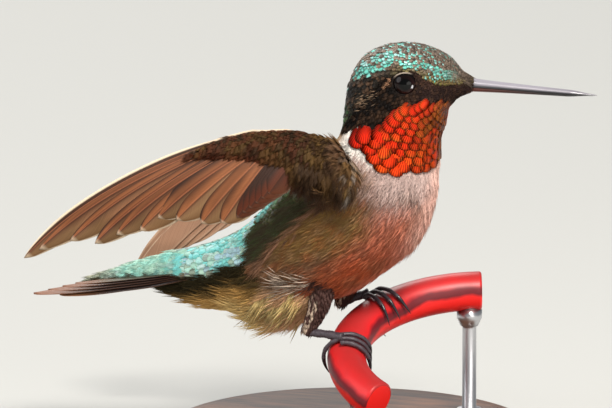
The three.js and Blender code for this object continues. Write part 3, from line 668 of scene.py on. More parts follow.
tones = {key: linear(value) for key, value in {
    "crownGround": (124, 106, 92), "crownDark": (28, 23, 17), "crownEdge": (196, 178, 160),
    "teal": (116, 214, 196), "tealPale": (170, 226, 222), "bronze": (112, 102, 52),
    "bronzeGreen": (104, 150, 82), "mask": (22, 16, 13), "lores": (72, 50, 46),
    "earStreak": (176, 146, 118), "eyeSpot": (196, 146, 112), "pale": (205, 196, 186),
    "ruby": (238, 28, 8), "orange": (255, 72, 10), "crimson": (236, 20, 14), "ember": (110, 38, 8),
    "glintOrange": (255, 150, 48), "collar": (250, 244, 236), "upperBreast": (206, 180, 172),
    "breast": (206, 126, 98), "belly": (198, 96, 56), "olive": (140, 108, 60), "golden": (164, 126, 68),
    "greyBrown": (132, 96, 70), "shade": (68, 62, 43), "backGreen": (74, 88, 46),
    "backGlint": (120, 172, 104), "turquoise": (150, 252, 244), "mint": (206, 255, 232),
    "sky": (196, 236, 250), "rumpGap": (164, 150, 124), "ventDark": (58, 48, 20), "buff": (208, 160, 90),
    "buffPale": (250, 220, 150), "wingRust": (92, 42, 20), "wingDark": (48, 28, 18),
    "wingShaft": (170, 106, 72), "wingOlive": (90, 70, 40), "wingTan": (148, 90, 54),
    "wingPale": (196, 146, 106), "wingDeep": (80, 32, 12), "plume": (180, 134, 104),
    "wingUnder": (196, 150, 120), "underWing": (128, 102, 84), "thighDark": (92, 64, 58),
    "thighWhite": (214, 190, 168), "cream": (246, 226, 196), "covertDark": (58, 40, 24),
    "covertRed": (104, 54, 34), "covertOlive": (92, 66, 34), "tailBlack": (56, 40, 35),
    "tailPink": (146, 98, 72), "tailBuff": (152, 102, 64), "creamPink": (244, 196, 180),
    "ventRose": (242, 192, 152)}.items()}


def sideView(t, a):
    flat = flatTrunk(t, a)
    low = np.degrees(np.minimum(a % turn, turn - a % turn))  # 0 on the back, 180 on the belly
    return flat[..., 0], flat[..., 2], low


def zoneOf(t, a):
    x, z, low = sideView(t, a)
    head = (x > -1.3) & (t < 0.47)
    zone = np.full(np.shape(x), zones.index("flank"))
    front = heightOf([point[::-1] for point in flankFront], z)
    zone[(x > front) | (low > 138) & (t < 0.64)] = zones.index("breast")
    zone[(low < 42 + 8 * np.sin(x * 1.3)) & (t > 0.42)] = zones.index("back")
    zone[(x < -1.8) & (z < heightOf(ventFront, x))] = zones.index("vent")
    zone[(z > 43.2) & (x > -3.2)] = zones.index("breast")
    tail = x < rumpFront + 0.25 * np.sin(z * 2.1)
    above = z > heightOf(rumpFoot, x)
    zone[tail & above] = zones.index("rump")
    zone[tail & ~above] = zones.index("vent")
    zone[tail & above & (x < -21.5)] = zones.index("coverts")
    zone[head & (z > heightOf(gorgetFoot, x) + scaleOverhang)] = zones.index("gorget")
    zone[head & (z > heightOf(gorgetEdge, x))] = zones.index("face")
    zone[head & (z > heightOf(crownLine, x))] = zones.index("crown")
    return zone


def markings(t, a, places, luck):
    # The tint and rim of the feather at each place; luck is its own number from 0 to 1.
    x, z, low = sideView(t, a)
    zone = zoneOf(t, a)
    tint = np.zeros((len(x), 3))
    rim = np.zeros((len(x), 3))
    blot = mottle(places, 1.6, 5)
    broad = mottle(places, 5.0, 8)

    def fill(name, inner, outer):
        chosen = zone == zones.index(name)
        tint[chosen] = inner[chosen]
        rim[chosen] = outer[chosen]

    # crown: grey-brown with pale edges, teal flecks in a band over the eye, bronze by the bill
    over = z - heightOf(tealLow, x)
    bandTop = 2.0 - 0.6 * smooth(x, 6, 10)
    band = smooth(over, -0.3, 0.4) * (1 - smooth(over, 1.0, bandTop)) * smooth(low, 10, 26)
    rear = smooth(6.5 - x, 0, 2.5)
    fleck = luck < (0.08 + 0.1 * (over > 0)) * smooth(over, -1.0, -0.3) + (0.5 + 0.32 * rear) * band
    fleck = fleck * smooth(15.5 - x, 0, 3)
    green = mix("teal", "tealPale", smooth((luck * 37) % 1 + 0.3 * (over > 1.2), 0.5, 1.0))
    green = mix(green, tones["bronzeGreen"] * 0.7, smooth(-over, 0.2, 1.2) * 0.75)
    green = mix(green, tones["teal"] * 0.6, 0.5 * ((luck * 71) % 1 > 0.55))
    ground = mix("crownGround", "crownDark", smooth(-over, -0.5, 0.6) * smooth(9 - x, -1, 3))
    ground = mix(ground, "crownDark", 0.55 * ((luck * 53) % 1 > 0.6))
    ground = mix(ground, "bronze", smooth(-over, -0.6, 0.4) * smooth(x, 6, 9) * (0.4 + 0.6 * luck))
    ground = mix(ground, "greyBrown", 0.3 * smooth(-over, -0.3, 0.4) * ((luck * 91) % 1 > 0.7))
    green = mix(green, "crownDark", 0.6 * smooth(-over, 0.6, 2.0))
    edge = mix(ground, "crownEdge", 0.06 + 0.85 * luck * smooth(over, -0.6, 0.6))
    tint0 = mix(ground, green, fleck)
    nape = smooth(51.5 - z, 0, 3) * smooth(60 - low, 0, 30)
    glint = mix("backGreen", "backGlint", (luck > 0.5) + 0.0)
    tint0 = mix(tint0, glint * 0.7, nape * 0.7 * smooth(40 - low, 0, 20))
    fill("crown", tint0, mix(edge, green, 0.35 * fleck))
    # face: a blackish mask with tan streaks behind the eye
    inner = mix("mask", "lores", smooth(x, 7, 12) * (0.3 + 0.5 * blot))
    inner = mix(inner, "greyBrown", 0.16 * (luck > 0.6) + 0.1 * smooth(blot, 0.5, 0.8))
    fill("face", inner, inner * 1.3)
    # gorget: crimson towards the nape, orange low down; the darker embers at the front are painted shade
    # where the iridescent throat turns from the light, and the orange-yellow rims are painted glints along
    # the barbs
    red = mix("crimson", "ruby", smooth(x, 0, 4))
    red = mix(red, "orange", np.clip(smooth(49 - z, 0, 7) * 0.75 + 0.3 * (luck - 0.4), 0, 1))
    front = smooth(low, 104, 132) * smooth(x, 5.0, 9.5)
    red = mix(red, "ember", front * (0.42 + 0.58 * smooth(mottle(places, 2.4, 3), 0.35, 0.6)))
    fill("gorget", red, mix(red, "glintOrange", 0.1 + 0.55 * smooth(x, 1.5, 6) * luck))
    # breast and belly: white under the throat, then pink, and chestnut by the legs
    front = heightOf([point[::-1] for point in flankFront], z)
    down = 42 - z
    below = heightOf(gorgetFoot, x) - z
    body = mix("collar", "upperBreast", smooth(below + 0.5 * np.maximum(x - 1, 0), 0.1, 1.4))
    body = mix(body, "breast", smooth(down, 2.5, 7.5))
    body = mix(body, "belly", smooth(down, 7.0, 14.5) * smooth(low, 180, 150))
    body = mix(body, "greyBrown", 0.4 * smooth(blot, 0.5, 0.9) * smooth(down, 0, 6))
    body = mix(body, "creamPink", smooth(low, 138, 172) * smooth(z, 28, 35) * 0.8)
    # flank: golden olive in front, grey-brown low down; painted shade under the wing, a darker olive high up
    # and almost black below the wing
    gold = mix("olive", "golden", 0.8 * smooth(0.6 * blot + 0.4 * luck, 0.3, 0.8) * smooth(z, 28, 32))
    gold = mix(gold, "greyBrown", np.clip(smooth(31.5 - z, 0, 4) + smooth(broad, 0.5, 0.9), 0, 1) * 0.75)
    gold = mix(gold, "covertOlive", smooth(z, 35, 41) * smooth(4 - x, 0, 4) * 0.3)
    gold = mix(gold, "belly", smooth(low, 104, 134) * 0.7)
    fine = mottle(places, 0.8, 12)
    gold = mix(gold, "plume", 0.3 * smooth(fine, 0.56, 0.74))
    gold = mix(gold, "belly", 0.3 * smooth(0.44 - fine, 0, 0.2) * smooth(low, 60, 100))
    turned = smooth(x - front + 1.8 * (blot - 0.5) + 1.0 * (luck - 0.5), -1.8, 2.6)
    body = mix(gold, body, np.maximum(turned, smooth(low, 120, 146) * (1 - smooth(t, 0.6, 0.68))))
    line = heightOf(plumeLine, x)
    # painted shade: the flank under the wing is made almost black
    dark = smooth(z - line, -0.4, 1.0) * smooth(41 - z, -1, 3) * (1 - smooth(x - front, -1, 1))
    body = mix(body, "shade", dark * 0.9)
    body = mix(body, mix("backGreen", "backGlint", 0.25 * blot), dark * (luck > 0.6) * 0.55)
    collar = smooth(-below, -1.3 + 0.25 * x, -0.5 + 0.2 * x) * smooth(x, -2.6, -1.2) * (x < 5)
    body = mix(body, "collar", collar)
    nape = smooth(z, 43.4, 44.6) * (x > -3.2)
    hind = mix(glint, mix("earStreak", "collar", smooth(low, 20, 44)), smooth(low, 8, 18))
    body = mix(body, hind, nape * (low < 60))
    barb = smooth(abs(z - 41.2), 2.2, 0.8) * smooth(abs(x - 2.6), 1.6, 0.6) * (luck > 0.45)
    body = mix(body, "earStreak", 0.8 * barb)
    for name in ("breast", "flank"):
        fill(name, body, mix(body, "pale", 0.12))
    # back: bronze green with glints, and painted shade darkening its lower edge next to the wing
    inner = mix("backGreen", "backGlint", (luck > 0.4) * smooth(blot, 0.2, 0.8) * 0.8)
    inner = mix(inner, "bronze", 0.5 * ((luck * 31) % 1 > 0.6))
    inner = mix(inner, "turquoise", smooth(-x, 6.5, 11) * (luck > 0.2) * smooth(low, 36, 20))
    inner = mix(inner, "shade", smooth(low, 26, 38) * 0.9)
    fill("back", inner, mix(inner, "bronze", 0.5))
    # rump: flecks of turquoise, mint and sky with grey-brown between
    pick = 0.7 * mottle(places, 1.1, 6) + 0.3 * luck
    inner = mix("turquoise", "mint", smooth(pick, 0.4, 0.55))
    inner = mix(inner, "sky", smooth(pick, 0.6, 0.75))
    gap = 0.75 * smooth(low, 70, 98) + 0.5 * smooth(18 - low, 0, 12) + 0.4 * ((luck * 61) % 1 > 0.84)
    inner = mix(inner, "rumpGap", np.clip(gap, 0, 1))
    inner = mix(inner, "ventDark", smooth(low, 80, 100) * 0.8)
    fill("rump", inner, mix(inner, "rumpGap", 0.25))
    inner = mix(inner, mix("mint", "rumpGap", 0.25), 0.7 * smooth(-x, 21, 26) * smooth(low, 90, 60))
    inner = mix(inner, tones["rumpGap"] * 0.85, 0.8 * smooth(-x, 29, 35))
    fill("coverts", inner, mix(inner, "tailPink", 0.3))
    # vent: dark under the rump, then golden buff with pale ends
    under = heightOf(rumpFoot, np.minimum(x, rumpFront)) - z
    inner = mix("ventDark", "buff", smooth(under, 1.9, 5.0))
    inner = mix(inner, "buffPale", smooth(under, 4.0, 7.5) * (0.35 + 0.5 * luck))
    inner = mix(inner, "ventRose", 0.75 * smooth(x, -10.0, -7.0) * smooth(26.0 - z, -1, 2))
    fill("vent", inner, mix(inner, "buffPale", 0.25))
    return tint, rim


def asColour(tint):
    return np.concatenate([np.clip(tint, 0, 1), np.ones((len(tint), 1))], 1)


def trunkRoots(zone, plan):
    start, growth, low, high = plan["length"]

    def length(p):
        return start + growth * smooth(p, low, high)

    def wanted(p, q):
        return zoneOf(p, q) == zones.index(zone)

    t, a = scatter(skinTrunk, length, wanted, plan["row"], plan["column"], plan["jitter"], plan["span"])
    root, lie, away = frameAt(skinTrunk, t, a)
    luck = rng.uniform(0, 1, len(t))
    tint, rim = markings(t, a, root, luck)
    vary = 1 + zoneVary.get(zone, 0.1) * rng.uniform(-1, 1, len(t))[:, None]
    if zone == "face":
        lie = layFlat(unit(lie + np.array([-0.7, 0, 0])), away)
    roots = rootSet(root, lie, away, luck, length(t), plan["width"], 0.5, tint * vary, rim * vary,
                    patchAt(t, a, *patches["trunk"]))
    return {"t": t, "a": a, **roots}


def only(roots, chosen):
    return {key: value[chosen] for key, value in roots.items()}


# Eyes: the ball's middle and the way it looks, before the head turns, then the lids as a beaded ring.
eyeSet = {"radius": 1.75, "x": 8.0, "y": 4.2, "z": 53.13, "axis": (0.1, 1.0, 0.06), "sides": 48, "rings": 33,
          "pole": 0.02, "iris": 1.15, "lidRadius": 1.46, "lidThick": 0.13, "lidSteps": 96, "lidSides": 10,
          "beads": 24}
eyeStops = [(0.0, (0.001, 0.001, 0.001)), (0.55, (0.001, 0.001, 0.001)), (0.62, (0.006, 0.002, 0.002)),
            (0.9, (0.014, 0.004, 0.003)), (1.0, (0.004, 0.002, 0.002))]


def eyeFrame(side):
    centre = turnHead(np.array([eyeSet["x"], side * eyeSet["y"], eyeSet["z"]]))
    ahead, aside, up = eyeSet["axis"]
    tip = turnHead(np.array([eyeSet["x"] + ahead, side * (eyeSet["y"] + aside), eyeSet["z"] + up]))
    return centre, unit(tip - centre)


def eyeBall(centre, axis, across, up):  # points, faces and how far each point is out from the pupil
    angles = np.linspace(0, turn, eyeSet["sides"], endpoint=False)
    rings, iris = [], []
    for polar in np.linspace(eyeSet["pole"], math.pi - eyeSet["pole"], eyeSet["rings"]):
        flat = math.sin(polar) * eyeSet["radius"]
        rings.append(centre + axis * math.cos(polar) * eyeSet["radius"] + flat * circle(angles, across, up))
        iris += [min(flat / eyeSet["iris"] * 0.9, 1) if polar < 1.6 else 1] * len(angles)
    return *loft(rings), np.array(iris + [0, 1])


def eyelid(side, centre, axis, across, up):  # points, faces and tints of a soft ring that sits on the ball
    around = np.linspace(0, turn, eyeSet["lidSides"], endpoint=False)
    rings, tints = [], []
    for angle in np.linspace(0, turn, eyeSet["lidSteps"], endpoint=False):
        way = across * math.cos(angle) + up * math.sin(angle)
        reach = eyeSet["lidRadius"] * (1 + 0.12 * math.cos(angle) ** 2 - 0.04 * abs(math.sin(angle)) ** 3)
        depth = math.sqrt(eyeSet["radius"] ** 2 - reach**2)
        middle = centre + way * (reach + 0.08) + axis * (depth - 0.05)
        brow = smooth(math.sin(angle - 0.25 * side), 0.6, 0.95)
        thick = eyeSet["lidThick"] * (1 + 0.16 * math.sin(angle * eyeSet["beads"])) * (1 - 0.35 * brow)
        rings.append(middle + thick * circle(around, way * 1.2, axis * 0.9))
        tints += [mix("mask", "crownEdge", 0.55 * brow)] * len(around)
    points = np.array(rings).reshape(-1, 3)
    return points, ringFaces(len(rings), len(rings), len(around)), np.array(tints)


def makeEyes():
    wet = material("eye", roughness=0.05, IOR=1.38, Specular_IOR_Level=0.35)
    wire(wet, Base_Color=rampAt(wet.node_tree, attribute(wet.node_tree, "iris"), eyeStops))
    skin = material("eyelid", roughness=0.7, Specular_IOR_Level=0.15)
    wire(skin, Base_Color=attribute(skin.node_tree, "tint", "Color"))
    lit = bpy.data.collections.new("lit by the catch light")
    unlit = bpy.data.collections.new("unlit by the key light")
    bpy.data.objects["catch"].light_linking.receiver_collection = lit
    bpy.data.objects["key"].light_linking.receiver_collection = unlit
    for label, side in (("right", -1), ("left", 1)):
        centre, axis = eyeFrame(side)
        across = unit(np.cross(axis, [0, 0, 1.0]))
        up = np.cross(across, axis)
        points, faces, iris = eyeBall(centre, axis, across, up)
        eye = meshObject("eye_" + label + "_ball", points, faces, wet, {"iris": iris}, outward=True)
        keep(eye, "eye", "eye_" + label)
        lit.objects.link(eye)
        unlit.objects.link(eye)
        points, faces, tints = eyelid(side, centre, axis, across, up)
        lid = meshObject("eyelid_" + label, points, faces, skin, {"tint": asColour(tints)}, outward=True)
        keep(lid, "crown")
    for entry in unlit.collection_objects:
        entry.light_linking.link_state = "EXCLUDE"


# Wings. Places on a wing are along it from the wrist, then down its chord; the flight feathers count
# from the tenth primary to the first, then the secondaries inwards.
wingSets = {
    "right": {"side": -1, "wrist": (-5.7, -9.0, 47.05), "sweep": 20, "droop": 0, "cant": 12, "fan": 1},
    "left": {"side": 1, "wrist": (-6.0, 9.0, 42.0), "sweep": 6, "droop": 9.2, "cant": 12, "fan": 0.15}}
flightSet = {
    "reach": (38.9, 36.6, 32.4, 29.7, 26.6, 23.7, 20.8, 19.0, 16.9, 15.2),
    "angle": (26.2, 26.0, 27.4, 30.9, 31.9, 34.8, 34.8, 39.6, 48.0, 55.5),
    "roots": ((5.2, 0.5), (0.4, 1.7)), "width": (3.4, 4.6), "ahead": (0.22, 0.4), "bow": (4.7, 0.5),
    "layer": 0.1, "secondaries": 6, "secondaryRoots": ((-0.4, 2.0), (-2.0, 3.2)),
    "secondaryTips": ((6.6, 11.8), (2.4, 8.6)), "secondaryFold": ((4.6, -3.4), (2.0, -1.4)),
    "secondaryWidth": 3.4, "secondaryBow": 0.4, "edge": 0.16, "edgeSpan": (-1.0, 11.0), "edgeSteps": 60,
    "edgeSides": 10, "steps": 44, "camber": 1.3, "chord": 13, "thick": 0.05, "shaft": 0.11, "arch": 0.16}
flightLook = {"roughness": 0.55, "count": 70.0, "slant": 16.0, "contrast": 0.3, "rimFrom": 1.4,
              "rootShade": 0.0, "bump": 0.2}
flightOutline = {"root": 0.35, "full": 0.3, "taper": 0.86, "from": 0.68, "power": 2.2, "round": 0.955}
armSections = np.array([  # place along the wing, leading and trailing edge, half thickness, lift
    (-9.4, 5.2, 8.6, 1.1, 2.4), (-7.6, 2.6, 9.2, 2.0, 1.2), (-5.6, 1.0, 8.9, 2.1, 0.4),
    (-3.0, 0.2, 7.8, 1.8, 0), (0.0, -0.1, 6.4, 1.5, 0), (4.5, 0.2, 4.7, 1.0, 0), (9.0, 1.4, 3.9, 0.7, 0),
    (13.0, 3.0, 3.9, 0.45, 0)])
armFront = 0.08  # how much of the arm rounds off its front end
armPower = 2 / 2.3
vaneShares = np.array([-1, -0.95, -0.86, -0.66, -0.4, -0.16, -0.06, 0, 0.09, 0.25, 0.5, 0.78, 0.92, 1])


def wingFrame(wing):
    side, sweep, cant = wing["side"], math.radians(wing["sweep"]), math.radians(wing["cant"])
    level = np.array([-math.cos(sweep), side * math.sin(sweep), 0])
    down = np.array([math.sin(sweep) * math.sin(cant), side * math.cos(sweep) * math.sin(cant),
                     -math.cos(cant)])
    upper = unit(np.cross(level, down) * -side)
    droop = -math.radians(wing["droop"]) * side
    along, chord = (v * math.cos(droop) + np.cross(upper, v) * math.sin(droop) for v in (level, down))
    return {"wrist": np.array(wing["wrist"]), "along": along, "chord": chord, "upper": upper}


def onWing(wing, l, d, lift):
    axes = wingFrame(wing)
    bulge = flightSet["camber"] * np.sin(math.pi * np.clip(d / flightSet["chord"], 0, 1)) * smooth(l, -6, 6)
    return (axes["wrist"] + np.multiply.outer(l, axes["along"]) + np.multiply.outer(d, axes["chord"])
            + np.multiply.outer(lift + bulge, axes["upper"]))


def outlineAt(t, plan):  # a vane's width along its shaft, as a share of its widest
    full = plan["root"] + (1 - plan["root"]) * smooth(t, 0, plan["full"])
    taper = 1 - plan["taper"] * np.clip((t - plan["from"]) / (1 - plan["from"]), 0, 1) ** plan["power"]
    ending = np.clip((t - plan["round"]) / (1 - plan["round"]), 0, 1)
    return full * taper * np.sqrt(np.clip(1 - ending**2, 0.01, 1))


def vane(shaft, along, profile, ahead, behind, place, paint, luck):
    # One flight feather: a thin cambered sheet with a raised shaft. place(x, y, h) sets it in space.
    t = np.linspace(0, 1, len(shaft))
    shares = np.concatenate([vaneShares, vaneShares[::-1]])
    top = np.concatenate([np.ones(len(vaneShares)), -np.ones(len(vaneShares))])
    s, tt = np.meshgrid(shares, t)
    across = np.where(s > 0, s * ahead, s * behind) * profile[:, None]
    ridge = np.where(abs(s) < 0.03, flightSet["shaft"] * (1.05 - tt), 0) * (top > 0)
    high = flightSet["arch"] * (1 - s**2) + flightSet["thick"] * top * (1 - 0.7 * s**4) + ridge
    aside = np.stack([along[:, 1], -along[:, 0]], 1)
    x = shaft[:, None, 0] + aside[:, None, 0] * across
    y = shaft[:, None, 1] + aside[:, None, 1] * across
    points, faces = loft(place(x, y, high))
    s = np.concatenate([s.ravel(), [0, 0]])
    tt = np.concatenate([tt.ravel(), [0, 1]])
    under = np.concatenate([np.tile(top < 0, len(shaft)), [False, False]])
    tint = asColour(paint(s, tt, under))
    values = {"tint": tint, "rim": tint, "luck": np.full(len(s), luck)}
    return points, faces, values, np.stack([0.5 + 0.5 * s, tt], 1)


def flightVane(wing, root, tip, bow, width, share, lift, paint):
    t = np.linspace(0, 1, flightSet["steps"]) ** 0.85
    run = tip - root
    middle = root + 0.6 * run + unit([run[1], -run[0]]) * bow
    shaft = (1 - t)[:, None] ** 2 * root + 2 * (t * (1 - t))[:, None] * middle + (t**2)[:, None] * tip
    along = unit((1 - t)[:, None] * (middle - root) + t[:, None] * (tip - middle))
    return vane(shaft, along, outlineAt(t, flightOutline), width * share, width * (1 - share),
                lambda x, y, h: onWing(wing, x, y, lift + h), paint, rng.uniform())


def wingPaint(number, inner):
    # number counts from the leading feather; inner is true for the secondaries
    part = number / (len(flightSet["reach"]) - 1)
    luck = rng.uniform(-1, 1)
    rust = mix("wingRust", "wingTan", np.clip(0.5 * smooth(part, 0.25, 0.7) + 0.4 * luck, 0, 1))
    rust = mix(rust, "wingDeep", 0.85 * inner)
    clearFrom = 0.62 - 0.3 * smooth(part, 0.4, 0.75)
    paleShare = 0.35 + 0.45 * smooth(part, 0.3, 0.7) + 0.3 * luck

    def paint(s, t, under):
        streak = 0.5 + 0.5 * np.sin(13 * s + 40 * luck) * np.cos(6 * s - 3 * t + 9 * luck)
        # painted light and shade across each feather: a lit tan band beside the shaft, shadow towards the
        # leading edge, and shade on the trailing vane where the next feather covers it
        tone = mix(rust, "wingTan", 0.8 * smooth(s, 0.02, 0.25) * (not inner))
        tone = mix(tone, "wingDark", smooth(s, 0.35, 0.9))
        opaque = 1 - smooth(t, clearFrom - 0.1, clearFrom + 0.15)
        tone = mix(tone, "wingDark", 0.8 * smooth(-s, 0.4, 0.75) * opaque)
        tone = mix(tone, "wingDark", 0.5 * streak * (1 - smooth(t, 0.7, 0.9)))
        panel = smooth(t, 0.12, 0.35) * smooth(-s, 0.02, 0.2) * smooth(s, -0.85, -0.55) * (0.6 + 0.4 * streak)
        tone = mix(tone, "wingPale", panel * (0 if inner else paleShare))
        clear = smooth(t, clearFrom, clearFrom + 0.2) * smooth(-s, 0.0, 0.3) * (0.7 if not inner else 0.1)
        tone = mix(tone, "wingOlive", clear)
        # painted shade towards the root under the coverts, and a painted shadow line just behind the shaft
        tone = mix(tone, "wingDark", (0.6 + 0.2 * inner) * smooth(1 - t, 0.62, 0.95))
        tone = mix(tone, "wingDark", 0.7 * smooth(abs(s + 0.1), 0.09, 0.04))
        tone = mix(tone, "wingShaft", (abs(s) < 0.04) * (0.05 if inner else 0.55))
        rim = np.maximum((s < -0.93) * smooth(t, 0.45, 0.7), (t > 0.975) * 0.8)
        tone = mix(tone, "cream", rim * (0.06 if inner else 0.4))
        if number == 0 and not inner:
            tone = mix(tone, mix("cream", "wingTan", 0.15), (s > 0.7) + 0.0)
            tone = mix(tone, "wingDark", (s < 0.7) * (s > 0.05) * 0.85)
        below = mix(mix(tone, "wingUnder", 0.72), "cream", 0.5 * (abs(s) < 0.04))
        return mix(tone, below, under)
    return paint


def wingEdge(wing):
    # The thin cream edge of the hand, from the wrist to the longest primary.
    span = np.linspace(*flightSet["edgeSpan"], flightSet["edgeSteps"])
    lead = np.interp(span, armSections[:, 0], armSections[:, 1]) + 0.25 * smooth(6 - span, 0, 4)
    share = np.linspace(0, 1, len(span))
    radius = flightSet["edge"] * np.minimum(1, 0.15 + 6 * np.minimum(share, 1 - share))
    points, faces = tube(onWing(wing, span, lead, 0 * span), radius, flightSet["edgeSides"])
    tint = asColour(np.ones((len(points), 1)) * mix("cream", "wingTan", 0.2))
    values = {"tint": tint, "rim": tint, "luck": np.zeros(len(points))}
    return points, faces, values, np.tile([0.5, 0.5], (len(points), 1))


def makeFlight(label, wing, finish):
    parts = []
    last = len(flightSet["reach"]) - 1
    for i, (reach, angle) in enumerate(zip(flightSet["reach"], flightSet["angle"])):
        part = i / last
        heading = math.radians(between((flightSet["angle"][0], angle), wing["fan"]))
        parts.append(flightVane(wing, between(flightSet["roots"], part),
                                reach * np.array([math.cos(heading), math.sin(heading)]),
                                between(flightSet["bow"], part**0.7), between(flightSet["width"], part),
                                between(flightSet["ahead"], part), -flightSet["layer"] * (last - i),
                                wingPaint(i, False)))
    for i in range(flightSet["secondaries"]):
        part = i / (flightSet["secondaries"] - 1)
        tip = (between(flightSet["secondaryTips"], part)
               + (1 - wing["fan"]) * between(flightSet["secondaryFold"], part))
        parts.append(flightVane(wing, between(flightSet["secondaryRoots"], part), tip,
                                flightSet["secondaryBow"], flightSet["secondaryWidth"], flightSet["ahead"][1],
                                flightSet["layer"] * (i + 1), wingPaint(i, True)))
    parts.append(wingEdge(wing))
    points, faces, values, vanes = joinVanes(parts)
    thing = meshObject("flight_" + label, points, faces, finish, values, vanes, outward=True)
    return keep(thing, "wing_feather", f"wing_{label}_primaries", f"wing_{label}_secondaries")


def armSurface(wing, inset=0.0):
    axes = wingFrame(wing)

    def surface(p, q):
        l, lead, trail, half, lift = np.moveaxis(splineAt(armSections, p), -1, 0)
        front = np.sqrt(np.clip(1 - np.clip(1 - p / armFront, 0, 1) ** 2, 0.001, 1))
        middle = onWing(wing, l, (lead + trail) / 2, lift)
        rise = signedPower(np.cos(q), armPower) * (half - inset) * front
        aside = signedPower(np.sin(q), armPower) * ((trail - lead) / 2 - inset) * front
        return middle + rise[..., None] * axes["upper"] + aside[..., None] * axes["chord"]
    return surface


# The arm's coat. Over is the range of the cosine round the arm, 1 on its upper side; from and to count
# across the wing, 0 at its leading edge and 1 at its trailing edge; span is the range along the arm.
armBands = {
    "marginal": {"over": (-0.3, 1), "from": 0.01, "to": 0.34, "span": (0.01, 0.985), "length": 1.5,
                 "width": 0.7, "row": 0.28, "column": 0.3},
    "median": {"over": (-0.1, 1), "from": 0.3, "to": 1.01, "span": (0.01, 0.985), "length": 2.6,
               "width": 0.6, "row": 0.26, "column": 0.27},
    "under": {"over": (-1, -0.1), "from": 0.02, "to": 0.9, "span": (0.01, 0.985), "length": 2.6,
              "width": 0.6, "row": 0.3, "column": 0.3},
    "scapular": {"over": (-0.1, 1), "from": 0.5, "to": 1.01, "span": (0.02, 0.5), "length": 4.6,
                 "width": 0.45, "row": 0.12, "column": 0.13},
    "shoulder": {"over": (-1, 1), "from": 0.0, "to": 1.01, "span": (0.015, 0.2), "length": 3.2,
                 "width": 0.5, "row": 0.14, "column": 0.15}}
armCoat = {"depth": 0.35, "jitter": 0.2, "spread": (0.07, 0.02, 0.1, 0.14, 21),
           "look": {"roughness": 0.55, "contrast": 0.18, "rootShade": 0.22, "rimFrom": 0.75, "gloss": 0.15}}
throatWay = 0.35  # the angle from the middle of the breast at which the seam by the throat is measured
throatFoot = ([41.3, 42.2, 43.5, 45.5], [9, 1.6, 0.3, -1.1])  # heights, and how far ahead the white starts


def armTint(band, l, share, places, luck):
    blot = mottle(places, 1.5, 4)
    tint = mix("covertDark", "covertOlive", smooth(blot, 0.3, 0.85))
    tint = mix(tint, "covertRed", (luck > 0.4) * smooth(0.6 - share, 0, 0.25) * smooth(l, -5, -1) * 0.5)
    tint = mix(tint, "wingDeep", smooth(l, -3, 4) * smooth(share, 0.35, 0.8) * 0.85)
    tint = mix(tint, "golden", 0.22 * (luck < 0.3) * smooth(-l, 0, 5))
    tint = mix(tint, mix("greyBrown", "covertOlive", blot), 0.6 * smooth(-l, 4.5, 8.5))
    if band == "scapular":
        tint = mix("covertDark", "covertOlive", smooth(blot, 0.3, 0.85) * 0.8)
        tint = mix(tint, "wingDeep", smooth(l, -4.5, -0.5) * smooth(share, 0.5, 0.9) * 0.8)
        tint = mix(tint, "greyBrown", 0.4 * smooth(share, 0.6, 0.95) * smooth(-l, 3.0, 6.0))
    if band == "under":
        tint = mix(tint, "underWing", 0.7 * (1 - smooth(share, 0.55, 0.8)))
    ahead = places[:, 0] * math.cos(throatWay) - abs(places[:, 1]) * math.sin(throatWay)
    foot = np.interp(places[:, 2], *throatFoot)
    seam = smooth(ahead, -1.2, 1.2) * smooth(places[:, 2], 34, 38) * (luck > 0.5)
    tint = mix(tint, mix("golden", "pale", (luck * 43) % 1), 0.5 * seam)
    return mix(tint, "collar", smooth(ahead - foot, -0.5, 0.3))


def surfaceTree(surface, along, around):
    # A closed surface to measure depths from, and whether its normals point in or out.
    p, q, _, _ = wholeGrid(along, around)
    points, faces = loft(surface(p, q))
    tree = BVHTree.FromPolygons(points.tolist(), faces)
    inner = surface(np.array([0.45, 0.45]), np.array([0, math.pi])).mean(0)
    near, normal, _, _ = tree.find_nearest(inner.tolist())
    return tree, math.copysign(1, np.dot(inner - near, normal))


def depthIn(solid, points):
    # How deep each point is inside the surface; negative outside.
    tree, inward = solid
    found = [tree.find_nearest(point) for point in points.tolist()]
    return np.array([math.copysign(distance, np.dot(point - np.array(place), normal) * inward)
                     for point, (place, normal, _, distance) in zip(points, found)])


def bandRoots(surface, axes, band, trunkTree):
    plan = armBands[band]
    low, high = plan["over"]

    def wanted(p, q):
        share = (np.sin(q) + 1) / 2
        over = np.cos(q)
        return (share >= plan["from"]) & (share <= plan["to"]) & (over >= low) & (over <= high)

    def length(p):
        return plan["length"] * (1 - 0.35 * np.maximum(p - 0.6, 0))

    p, q = scatter(surface, length, wanted, plan["row"], plan["column"], armCoat["jitter"], plan["span"])
    root, _, away = frameAt(surface, p, q)
    middle = (root + surface(p, q + math.pi)) / 2
    away = away * np.sign(np.sum(away * (root - middle), -1))[:, None]
    l = splineAt(armSections, p)[:, 0]
    share = (np.sin(q) + 1) / 2
    follow = np.maximum(smooth(share, 0.0, 0.5), smooth(-l, 7.0, 9.0))
    angle = np.radians(68 - 38 * smooth(l, -6, 8)) * (0.15 + 0.85 * follow)
    lie = layFlat(circle(angle, axes["along"], axes["chord"]), away)
    luck = rng.uniform(0, 1, len(p))
    tint = armTint(band, l, share, root, luck)
    tint = tint * (1 + 0.14 * rng.uniform(-1, 1, len(p)))[:, None]
    long = length(p) * (0.75 + 0.25 * smooth(p, 0.0, 0.1))
    roots = rootSet(root, lie, away, luck, long, plan["width"], 0.5, tint, mix(tint, "wingShaft", 0.1),
                    patchAt(p, q, *patches["arm"]))
    return only(roots, depthIn(trunkTree, root) < 0.5)


